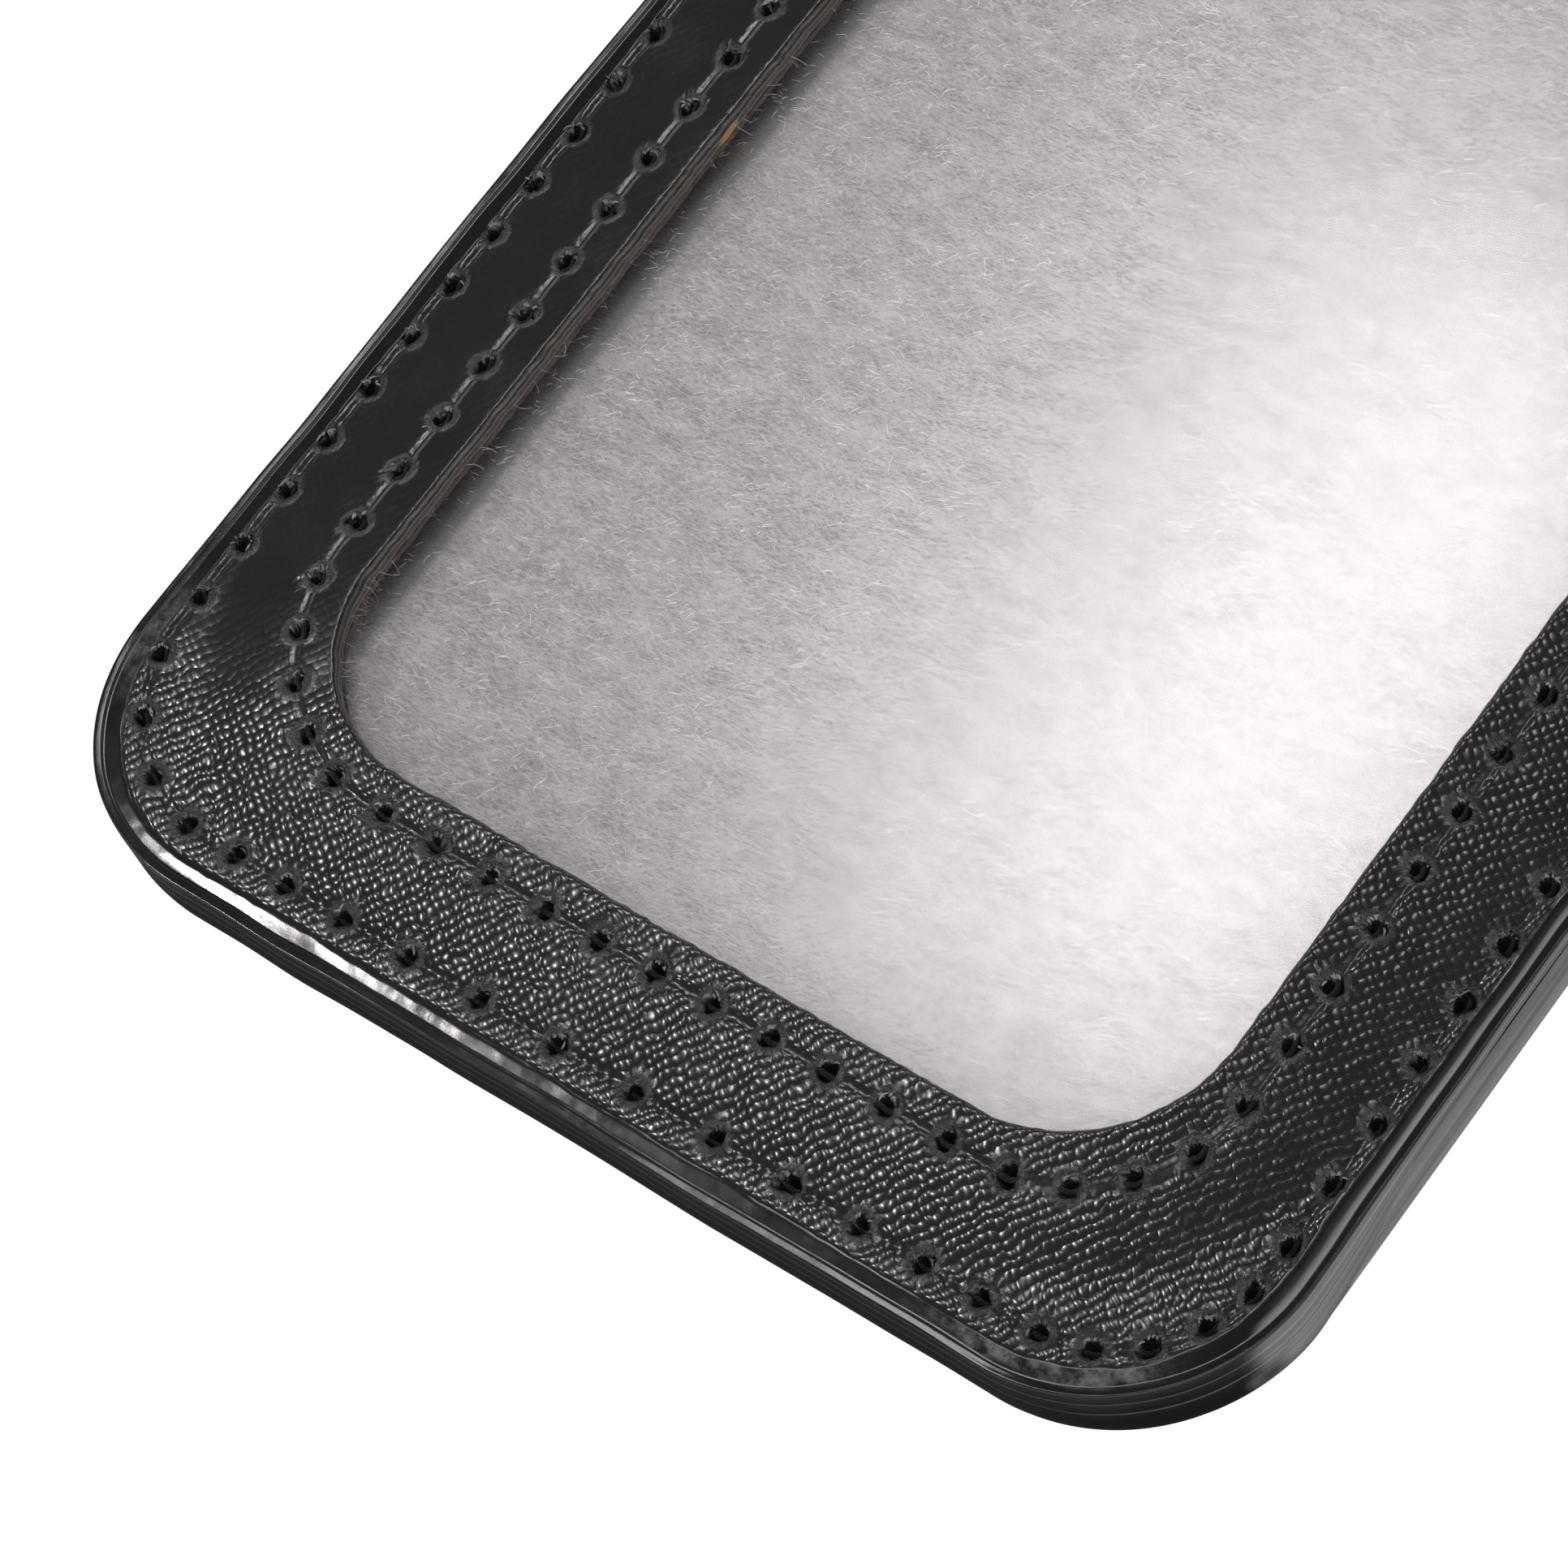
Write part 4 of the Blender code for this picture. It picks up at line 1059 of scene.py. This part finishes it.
def makeBackRim():
    low, high = backLow.z, backHigh.z
    section = [(0.00040, low), (0.00030, low + 0.00008), (0.00022, low + 0.0002), (0.00012, low + 0.0005),
               (0.00005, low + 0.0009), (0, low + 0.0013), (0, high - 0.0001), (0.00001, high - 0.00003),
               (0.00004, high), (0.00042, high)]
    placed = []
    for inset, level in section:
        ring = backRing(inset)
        placed.append([wallShift(ring, level) if inset < 0.0003 else ring, level])
    paintedPiece("backRim", placed, "back_edge_paint")


makeBackRim()


fibreFrame = {"side": 0.0039, "end": 0.0036, "ply": 0.00035}


# Fibre frame behind the leather, with an uneven cut edge that just shows below the lip.
def makeFibreFrame():
    ply = fibreFrame["ply"]
    innerZ, outerZ = fibreHigh.z - ply - 0.00001, fibreLow.z
    rows = []
    for margin, level in ((0.00004, innerZ), (0.00002, innerZ + ply * 0.5), (0.00004, innerZ + ply)):
        xy = windowRing(margin, margin)
        x, y = xy.T
        rough = lumps(x, y, (0.00006, 0.0011, 71)) + lumps(x, y + level * 5, (0.00005, 0.0003, 72))
        further = windowRing(margin + 0.001, margin + 0.001)
        rows.append([xy + (further - xy) * (rough / 0.001)[:, None], level])
    outer = windowRing(fibreFrame["side"], fibreFrame["end"])
    rows += [[outer, outerZ + ply], [outer, outerZ]]
    newPiece("fibreFrame", stacked(rows), rowFaces(len(rows), len(rows[0][0]), True), [brownFibre],
             stands=["front_fibreboard"], angle=40)


makeFibreFrame()


# Clear sheet behind the window, flat in the window and bent down to its sewn edge.
def makeClearSheet():
    flat = filmHigh.z
    drop = window["crown"] * film["side"] / window["crownRun"]
    middle = np.array([0, (window["low"] + window["high"]) / 2])
    edge = windowRing(0, 0)
    rows = [[middle + (edge - middle) * share, flat] for share in film["ringShares"]]
    rows.append([windowRing(film["side"], film["end"]), flat - drop])
    rows += [[xy, level - film["ply"]] for xy, level in reversed(rows)]
    count = len(edge)
    points = stacked(rows)
    x, y = points[:, :2].T
    inside = np.clip(-boxDistance(x, y, windowShape) / film["flatEdge"], 0, 1)
    points[:, 2] += inside * lumps(x, y, film["warp"])
    faces = cappedFaces(len(rows), count)
    newPiece("clearSheet", points, faces, [clearFilm], stands=["window_film"], angle=40)


makeClearSheet()
print("front made")


# Threads: three plies twisted together, sinking at each needle hole.
def threadPaths(centre):
    along = lengthAlong(centre)
    tangent = unitRows(np.gradient(centre, axis=0))
    side = unitRows(np.cross(tangent, [0, 0, 1.0]))
    top = np.cross(side, tangent)
    paths = []
    for ply in range(3):
        turn = 2 * np.pi * (along / stitches["twist"] + ply / 3)
        reach = stitches["threadRadius"] * 1.05
        paths.append(centre + reach * (side * np.cos(turn)[:, None] + top * np.sin(turn)[:, None]))
    return paths


# The thread's middle line along a seam. height is a number, or a function of xy points. dive is how deep
# the thread goes at a hole, below its run.
def threadLine(line, stations, height, dive, perStitch=26):
    centre = []
    for first, second in zip(stations[:-1], stations[1:]):
        share = np.arange(perStitch) / perStitch
        xy = seamAt(line, first + (second - first) * share)
        gap = np.minimum(share, 1 - share) * abs(second - first)
        level = height(xy) if callable(height) else height
        centre.append(np.column_stack([xy, level - dive * np.exp(-(gap / stitches["diveHalf"]) ** 2)]))
    return np.concatenate(centre)


# One long stitch climbs over the edge of the card mouth.
def stepOver(first, second):
    share = np.arange(40) / 40
    xy = seamAt(edgeLine, first + (second - first) * share)
    onFront = smoothStep((holder["mouth"] + 0.0004 - xy[:, 1]) / 0.0008)
    level = mixed(facingHigh.z + 0.00012, holder["rimTop"] + 0.00030, onFront)
    ends = np.minimum(share, 1 - share) * abs(second - first)
    return np.column_stack([xy, level - stitches["stepDive"] * np.exp(-(ends / 0.0005) ** 2)])


def makeThreads():
    header = facingHigh.z - edgeSeam["groove"] - 0.00010

    def onWindow(xy):
        return skinHeight(*xy.T, 0) - windowSeam["groove"] - windowSeam["sink"] + 0.00012

    def onEdge(xy):
        return skinHeight(*xy.T, 0) - edgeSeam["groove"] - edgeSeam["sink"]

    def strand(name, centre, node, sides, closed):
        points, faces = tubeMesh(threadPaths(centre), stitches["threadRadius"], sides, closed)
        newPiece(name, points, faces, [darkThread], stands=[node], angle=80)

    loop = np.append(windowHoles, windowHoles[0] + windowLine["length"])
    centre = threadLine(windowLine, loop, onWindow, stitches["windowDive"])
    strand("windowThread", centre, "window_top_thread", 5, True)
    centre = threadLine(windowLine, loop, filmLow.z + 0.0001, stitches["underWindowDive"], 14)
    strand("windowUnderThread", centre, "window_bobbin_thread", 4, True)
    parts = [threadLine(edgeLine, leftHoles, header, stitches["headerDive"]),
             stepOver(leftHoles[-1], frontHoles[0]),
             threadLine(edgeLine, frontHoles, onEdge, stitches["edgeDive"]),
             stepOver(frontHoles[-1], rightHoles[0]),
             threadLine(edgeLine, rightHoles, header, stitches["headerDive"])]
    strand("edgeThread", np.concatenate(parts), "perimeter_top_thread", 5, False)
    stations = leftHoles + frontHoles + rightHoles
    centre = threadLine(edgeLine, stations, stitches["backHeight"], stitches["underEdgeDive"], 14)
    strand("edgeUnderThread", centre, "perimeter_bobbin_thread", 4, False)


makeThreads()


burrs = {
    "perHole": (4, 9),
    "heading": math.radians(115),
    "spread": 0.65,
    "curl": 0.45,
    "start": (0.00033, 0.00046),
    "length": (0.00008, 0.00026),
    "rise": (0.00003, 0.00012),
    "sink": 0.00004,
    "radius": 0.000062,
    "taperShares": np.array([0.45, 0.85, 1.0, 0.9, 0.6, 0.2]),
}


# Shreds of leather that the needle pushed up on the far side of each hole.
def makeBurrs():
    dice = np.random.default_rng(11)
    share = np.linspace(0, 1, len(burrs["taperShares"]))
    paths = []
    for px, py in np.concatenate([seamAt(edgeLine, np.array(frontHoles)), windowPoints]):
        for _ in range(dice.integers(*burrs["perHole"])):
            heading = burrs["heading"] + dice.normal(0, burrs["spread"])
            curl = dice.normal(0, burrs["curl"])
            reach = dice.uniform(*burrs["start"]) + dice.uniform(*burrs["length"]) * share
            turned = heading + curl * share
            x = px + reach * np.cos(turned)
            y = py + reach * np.sin(turned)
            rise = dice.uniform(*burrs["rise"]) * np.sin(np.pi * share * 0.85)
            paths.append(np.column_stack([x, y, skinHeight(x, y, 0) + rise - burrs["sink"]]))
    points, faces = tubeMesh(paths, burrs["radius"] * burrs["taperShares"], 6, False)
    newPiece("seamBurrs", points, faces, [burrLeather], angle=70)


makeBurrs()


hairs = {
    "count": 90,
    "atCorner": 50,
    "cornerTurn": (180, 262),
    "mouthGap": 0.010,
    "spread": 0.9,
    "curl": 1.1,
    "length": (0.0003, 0.0016),
    "startHeight": (0.0003, 0.0011),
    "fall": (0.6, 2.0),
    "points": 9,
    "radius": 0.000011,
}


# Loose hairs that stand out of the window's cut edge, most of them at its lower left corner.
def makeLooseHairs():
    dice = np.random.default_rng(23)
    count = hairs["points"]
    share = np.linspace(0, 1, count)
    bend, side = window["corner"], -window["half"]
    cornerY = window["low"] + bend
    paths = []
    for index in range(hairs["count"]):
        atCorner = index < hairs["atCorner"]
        turn = math.radians(dice.uniform(*hairs["cornerTurn"]))
        x, y = side, cornerY + bend * math.sin(turn)
        if atCorner:
            x = side + bend + bend * math.cos(turn)
        else:
            y = dice.uniform(cornerY, window["high"] - hairs["mouthGap"])
        heading = dice.normal(0.5 if atCorner else 0.9, hairs["spread"])
        turned = heading + dice.normal(0, hairs["curl"]) * share
        length = dice.uniform(*hairs["length"])
        px = x - 0.0001 + np.cumsum(np.abs(np.cos(turned)) * 0.6) * length / count
        py = y + np.cumsum(np.sin(turned)) * length / count
        start = dice.uniform(*hairs["startHeight"])
        pz = filmHigh.z + 0.00003 + start * (1 - share) ** dice.uniform(*hairs["fall"])
        paths.append(np.column_stack([px, py, pz]))
    points, faces = tubeMesh(paths, hairs["radius"], 4, False)
    newPiece("looseHairs", points, faces, [looseHair], angle=80)


makeLooseHairs()


# A shape's outline this far inside its edge. A low shape's corners can't be rounder than its room.
def insetRing(shape, inset, dipDepth=0):
    room = shape["high"] - shape["low"] - 2 * inset - 0.0001
    radii = np.clip(np.array(shape["radii"]) - inset, 0.00003, room)
    return outline({"half": shape["half"] - inset, "low": shape["low"] + inset,
                    "high": shape["high"] - inset, "radii": radii}, dipDepth)


# The insets of a plate's rings: round its soft edge, then over its seam to where the cap starts.
plate = {
    "soft": 0.00025,
    "insets": np.concatenate([[0, 0.00004, 0.00012, 0.00025], np.arange(0.0004, 0.0049, 0.0002)]),
    "cap": 0.0050,
}


# A plate of leather with its skin on one side: rings step in from its edge, then a cap closes the middle.
def makeSkinPlate(name, node, shape, hidden, skinZ, dipDepth=0, seed=91):
    up = 1 if skinZ > hidden else -1
    soft = plate["soft"]
    middle = insetRing(shape, plate["cap"], dipDepth)
    placed = [[middle, hidden], [insetRing(shape, 0, dipDepth), hidden]]
    tornShare = []
    for inset in plate["insets"]:
        xy = insetRing(shape, inset, dipDepth)
        x, y = xy.T
        rounded = soft * (1 - math.sqrt(1 - (1 - min(inset / soft, 1)) ** 2))
        relief = 0.00003 * cloud(x, y, 0.0060, seed) * smoothStep(inset / 0.002)
        torn = np.zeros(len(xy))
        if inset > 0.0008:
            pressed, torn, _ = seamRelief(x, y, edgeLine, edgePoints, seed + 1)
            relief = relief + pressed
        relief = relief * smoothStep((plate["cap"] - inset) / 0.0006)
        placed.append([xy, skinZ + up * (relief - rounded)])
        tornShare.append(torn)
    placed.append([middle, skinZ])
    count = len(placed[0][0])
    points = stacked(placed)
    faces = cappedFaces(len(placed), count)
    made = newPiece(name, points, faces, [leatherPlain], stands=[node], angle=50)
    setPlace(made, points[:, :2])
    setMask(made, "torn", np.pad(np.concatenate(tornShare), (count * 2, count)))


roundCorner = holder["corner"] - holder["plyInset"]
squareCorner = holder["squareCorner"]
lowRounded = (roundCorner, roundCorner, squareCorner, squareCorner)
highRounded = (squareCorner, squareCorner, roundCorner, roundCorner)


def plateShape(low, high, radii):
    return {"half": high.x, "low": low.y, "high": high.y, "radii": radii}


makeSkinPlate("headerLeather", "header_facing", plateShape(facingLow, facingHigh, highRounded),
              facingLow.z, facingHigh.z)
makeSkinPlate("pocketLeather", "back_pocket_panel", plateShape(pocketLow, pocketHigh, lowRounded),
              pocketHigh.z, pocketLow.z, holder["slotDipDepth"], 95)
makeSkinPlate("upperLeather", "back_upper_panel", plateShape(upperLow, upperHigh, highRounded),
              upperHigh.z, upperLow.z, seed=97)


# Lining: a brushed grey sheet laid on the board.
def makeLining():
    shape = plateShape(liningLow, liningHigh, lowRounded)
    low, high = liningLow.z, liningHigh.z
    section = [(0.004, low), (0, low), (0, high - 0.00002), (0.00006, high), (0.002, high)]
    placed = [[insetRing(shape, inset), level] for inset, level in section]
    count = len(placed[0][0])
    faces = cappedFaces(len(placed), count)
    return newPiece("liningSheet", stacked(placed), faces, [greyLining], stands=["card_lining"],
                    angle=40)


fuzz = {
    "count": 8000,
    "length": (0.00015, 0.00062),
    "radius": 0.000009,
    "lie": math.radians(24),
    "spread": math.radians(34),
    "curl": 0.25,
    "arch": (0.00001, 0.00010),
    "points": 5,
    "halfX": 0.027,
    "past": 0.002,  # how far past the window's ends they lie
}


# Short loose fibres that lie on the lining.
def makeLiningFuzz():
    dice = np.random.default_rng(7)
    paths = []
    count = fuzz["points"]
    share = np.linspace(-0.5, 0.5, count)
    bow = np.sin(np.pi * np.linspace(0.05, 0.95, count))
    for _ in range(fuzz["count"]):
        x = dice.uniform(-fuzz["halfX"], fuzz["halfX"])
        y = dice.uniform(window["low"] - fuzz["past"], window["high"] + fuzz["past"])
        turned = fuzz["lie"] + dice.normal(0, fuzz["spread"]) + dice.normal(0, fuzz["curl"]) * share
        step = dice.uniform(*fuzz["length"]) / (count - 1)
        px = x + np.cumsum(np.cos(turned)) * step
        py = y + np.cumsum(np.sin(turned)) * step
        pz = liningHigh.z - 0.00001 + dice.uniform(*fuzz["arch"]) * bow
        paths.append(np.column_stack([px, py, pz]))
    points, faces = tubeMesh(paths, fuzz["radius"], 3, False)
    return newPiece("liningFuzz", points, faces, [paleFibre], angle=80)


lining = makeLining()
liningFuzz = makeLiningFuzz()

tab = {"ply": 0.0005, "gap": 0.0001, "reach": 0.0085, "pinch": 0.0030, "clearance": 0.0003, "wire": 0.0011,
       "softEdge": 0.00018}


# Tab: a strip folded round the ring's bar, with soft edges and both leaves on the header.
def makeTab():
    lowerZ = facingHigh.z + tab["gap"] + tab["ply"] / 2
    bend = tab["wire"] + tab["clearance"] + tab["ply"] / 2
    barY, barZ = barPlace.y, barPlace.z
    pinchY = barY - tab["pinch"]
    share = np.linspace(0, 1, 22)
    flatY = np.linspace(holder["top"] - tab["reach"], pinchY, 20)[:-1]
    lowY = np.concatenate([flatY, pinchY + (barY - pinchY) * share])
    lowZ = np.concatenate([np.full(19, lowerZ), lowerZ + (barZ - bend - lowerZ) * smoothStep(share)])
    turn = np.radians(np.linspace(-90, 90, 26))[1:-1]
    y = np.concatenate([lowY, barY + bend * np.cos(turn), lowY[::-1]])
    z = np.concatenate([lowZ, barZ + bend * np.sin(turn), 2 * barZ - lowZ[::-1]])
    along = unitRows(np.stack([np.gradient(y), np.gradient(z)], 1))
    soft = tab["softEdge"]
    halfX = (tabHigh.x - tabLow.x) / 2 - soft
    halfZ = tab["ply"] / 2 - soft
    across = np.linspace(halfX, -halfX, 34)[1:-1]
    flat = np.full(32, tab["ply"] / 2)
    section = np.concatenate([
        arcPoints(halfX, halfZ, soft, 0, 90, 6), np.stack([across, flat], 1),
        arcPoints(-halfX, halfZ, soft, 90, 180, 6), arcPoints(-halfX, -halfZ, soft, 180, 270, 6),
        np.stack([-across, -flat], 1), arcPoints(halfX, -halfZ, soft, 270, 360, 6),
    ])
    run = lengthAlong(np.stack([y, z], 1))
    points = []
    places = []
    for index in range(len(y)):
        ends = min(run[index], run[-1] - run[index])
        narrow = 1 - 0.10 * (1 - smoothStep(ends / 0.0010))
        off = section[:, 1] * (1 if ends else 0.72)
        points.append(np.stack([section[:, 0] * narrow, y[index] - along[index, 1] * off,
                                z[index] + along[index, 0] * off], 1))
        places.append(np.stack([section[:, 0], np.full(len(section), run[index])], 1))
    count = len(section)
    faces = cappedFaces(len(y), count)
    made = newPiece("tabLeather", np.concatenate(points), faces, [leatherPlain],
                    stands=["ring_tab"], angle=60)
    setPlace(made, np.concatenate(places))


makeTab()


rivet = {"turns": 64, "brim": 0.00022, "stem": 0.0013}


# Turned pieces. The profile is (radius, height) points.
def makeTurned(name, node, profile, centre):
    turn = 2 * np.pi * np.arange(rivet["turns"]) / rivet["turns"]
    circle = np.stack([np.cos(turn), np.sin(turn)], 1)
    points = stacked([[centre + radius * circle, level] for radius, level in profile])
    faces = cappedFaces(len(profile), rivet["turns"])
    newPiece(name, points, faces, [nickel], stands=[node], angle=35)


def makeRivet():
    centre = np.array([(capLow.x + capHigh.x) / 2, (capLow.y + capHigh.y) / 2])
    reach = (capHigh.x - capLow.x) / 2
    base = capLow.z
    brim = rivet["brim"]
    dome = capHigh.z - base - brim
    profile = [(reach * 0.45, base), (reach * 0.90, base), (reach * 0.985, base + 0.00004),
               (reach, base + 0.0001), (reach, base + brim - 0.00004)]
    for turn in np.radians(np.arange(8, 88, 6)):
        profile.append((reach * (1 - 0.03 * math.sin(turn)) * math.cos(turn) ** 0.72,
                        base + brim + dome * math.sin(turn)))
    makeTurned("rivetCap", "rivet_cap", profile, centre)
    low = postLow.z
    profile = [(reach * 0.10, low + 0.00008), (reach * 0.55, low + 0.00006), (reach * 0.62, low),
               (reach * 0.93, low), (reach * 0.985, low + 0.00008), (reach, low + 0.0002),
               (reach, low + 0.0006), (rivet["stem"], low + 0.0006), (rivet["stem"], postHigh.z)]
    makeTurned("rivetPost", "rivet_post", profile, centre)


makeRivet()

ring = {"wire": 0.0011, "inside": 0.0120, "leg": 0.0026, "corner": 0.0018, "sides": 24}


# Strap ring: a D of drawn wire, tipped about its bar until its bow lies on the table.
def makeRing():
    reachX = ring["inside"] / 2 + ring["wire"]
    flat = reachX - ring["corner"]
    bar = np.stack([np.linspace(-flat, flat, 30)[1:-1], np.zeros(28)], 1)
    path = np.concatenate([
        arcPoints(-flat, ring["corner"], ring["corner"], 180, 270, 14), bar,
        arcPoints(flat, ring["corner"], ring["corner"], 270, 360, 14),
        arcPoints(0, ring["leg"], reachX, 0, 180, 90),
    ])
    tip = math.asin((barPlace.z - ring["wire"] - 0.0001) / (ring["leg"] + reachX))
    y = path[:, 1] * math.cos(tip) + barPlace.y
    z = barPlace.z - path[:, 1] * math.sin(tip)
    centre = np.column_stack([path[:, 0] + barPlace.x, y, z])
    points, faces = tubeMesh([centre], ring["wire"], ring["sides"], True)
    newPiece("strapRing", points, faces, [nickel], "ring", ["strap_ring"], 80)


makeRing()

for nodeName, finish in (("back_board", boardFibre), ("pocket_backing", backingFibre)):
    node = bpy.data.objects[nodeName]
    node.data.materials.clear()
    node.data.materials.append(finish)
print("pieces made")

# Camera: fitted to the photograph, looking at the foot of the window.
camera = {
    "target": Vector((0, holder["bottom"] + 0.0079, 0.00435)),
    "offset": Vector((0.13962, -0.06582, 0.24663)),
    "right": (0.76792, 0.58770, -0.25476),
    "up": (-0.42617, 0.76570, 0.48175),
    "back": (0.47820, -0.26138, 0.83846),
    "lens": 146.307,
}


# A place and three axes as one matrix.
def standing(place, *axes):
    return Matrix.Translation(place) @ Matrix(axes).transposed().to_4x4()


cameraData = bpy.data.cameras.new("photoCamera")
cameraData.lens = camera["lens"]
cameraData.sensor_width = 36
cameraData.clip_start = 0.01
cameraObject = bpy.data.objects.new("photoCamera", cameraData)
bpy.context.scene.collection.objects.link(cameraObject)
eye = camera["target"] + camera["offset"]
cameraObject.matrix_world = standing(eye, camera["right"], camera["up"], camera["back"])
bpy.context.scene.camera = cameraObject

lampTarget = Vector((0, -0.02, 0.004))
lampColour = (1.0, 0.955, 0.965)
# Lamps face lampTarget. Radiance is how bright each looks, with white at 1.
lamps = {
    "windowLamp": {"place": (-0.225, 0.160, 0.50), "size": (0.080, 0.143), "radiance": 8.8},
    "grainLamp": {"place": (-0.351, -0.075, 0.51), "size": (0.040, 0.040), "radiance": 125.0},
    "fillLamp": {"place": (0.50, -0.29, 0.70), "size": (0.40, 0.40), "radiance": 2.0},
}


def addLamp(name, place, size, radiance):
    data = bpy.data.lights.new(name, "AREA")
    data.shape = "RECTANGLE"
    data.size, data.size_y = size
    data.energy = radiance * math.pi * size[0] * size[1]
    data.color = lampColour
    made = bpy.data.objects.new(name, data)
    away = (Vector(place) - lampTarget).normalized()
    across = Vector((0, 1, 0)).cross(away).normalized()
    made.matrix_world = standing(place, across, away.cross(across), away)
    bpy.context.scene.collection.objects.link(made)


for name, lamp in lamps.items():
    addLamp(name, **lamp)

stage = {
    "size": 4.0,
    "drop": 0.00002,  # the floor lies this far under the holder
    "tone": 0.06,
    "glow": 0.97,
    "paintedShadeReach": 0.020,  # how far from the holder the stage is darker in reflections
    "paintedShadePower": 12.0,
    "overhead": 0.18,
    "horizon": 0.5,
    "fade": (0.12, 0.40),  # heights between which the horizon turns to the sky overhead
    "side": 1.5,
    "sideHeading": (0.80, -0.45, 0.40),
    "sideWidth": (0.45, 0.95),
}


# Pale stage: white to the camera and in reflections, and it keeps the holder's shadow. In reflections its
# glow is dimmed near the holder by painted shade from ambient occlusion.
def stageFinish(name):
    made = bpy.data.materials.new(name)
    made.use_nodes = True
    tree = made.node_tree
    tree.nodes.clear()
    addNode(tree, "ShaderNodeOutputMaterial")
    path = addNode(tree, "ShaderNodeLightPath")
    # Painted shade: ambient occlusion dims the glow that reflections see near the holder.
    shade = addNode(tree, "ShaderNodeAmbientOcclusion", samples=6)
    shade.inputs["Distance"].default_value = stage["paintedShadeReach"]
    outsidePaintedShade = mathNode(tree, "POWER", shade.outputs["AO"], stage["paintedShadePower"])
    mirrored = mathNode(tree, "MAXIMUM", path.outputs["Is Glossy Ray"], path.outputs["Is Transmission Ray"])
    seen = mathNode(tree, "MAXIMUM", path.outputs["Is Camera Ray"], times(tree, mirrored, outsidePaintedShade))
    light = addNode(tree, "ShaderNodeEmission")
    feed(tree, times(tree, seen, stage["glow"]), light.inputs["Strength"])
    matte = addNode(tree, "ShaderNodeBsdfDiffuse")
    matte.inputs["Color"].default_value = (stage["tone"],) * 3 + (1,)
    both = addNode(tree, "ShaderNodeAddShader")
    feed(tree, matte.outputs[0], both.inputs[0])
    feed(tree, light.outputs[0], both.inputs[1])
    under = addNode(tree, "ShaderNodeNewGeometry").outputs["Backfacing"]
    endMixed(tree, under, both.outputs[0], addNode(tree, "ShaderNodeBsdfTransparent").outputs[0])
    return made


floorMesh = bpy.data.meshes.new("floor")
reach = stage["size"] / 2
corners = [(-reach, -reach, 0), (reach, -reach, 0), (reach, reach, 0), (-reach, reach, 0)]
floorMesh.from_pydata(corners, [], [(0, 1, 2, 3)])
floorMesh.materials.append(stageFinish("stageWhite"))
floor = bpy.data.objects.new("floor", floorMesh)
floor.location.z = -stage["drop"]
bpy.context.scene.collection.objects.link(floor)

world = bpy.context.scene.world or bpy.data.worlds.new("studio")
bpy.context.scene.world = world
world.use_nodes = True
tree = world.node_tree
background = tree.nodes["Background"]
background.inputs["Color"].default_value = (1, 1, 1, 1)
path = addNode(tree, "ShaderNodeLightPath")
seen = mathNode(tree, "MAXIMUM", path.outputs["Is Camera Ray"], path.outputs["Is Transmission Ray"])
heading = addNode(tree, "ShaderNodeTexCoord").outputs["Generated"]
height = addNode(tree, "ShaderNodeSeparateXYZ")
feed(tree, heading, height.inputs[0])
low = rangeNode(tree, path.outputs["Is Glossy Ray"], 0.0, 1.0, stage["horizon"], 1.0)
glow = rangeNode(tree, height.outputs[2], *stage["fade"], low, stage["overhead"])
toSide = addNode(tree, "ShaderNodeVectorMath", operation="DOT_PRODUCT")
feed(tree, heading, toSide.inputs[0])
feed(tree, stage["sideHeading"], toSide.inputs[1])
glow = plus(tree, glow, rangeNode(tree, toSide.outputs["Value"], *stage["sideWidth"], 0.0, stage["side"]))
feed(tree, rangeNode(tree, seen, 0.0, 1.0, glow, 1.0), background.inputs["Strength"])
bpy.context.scene.view_settings.view_transform = "Standard"
print("stage and lamps set")
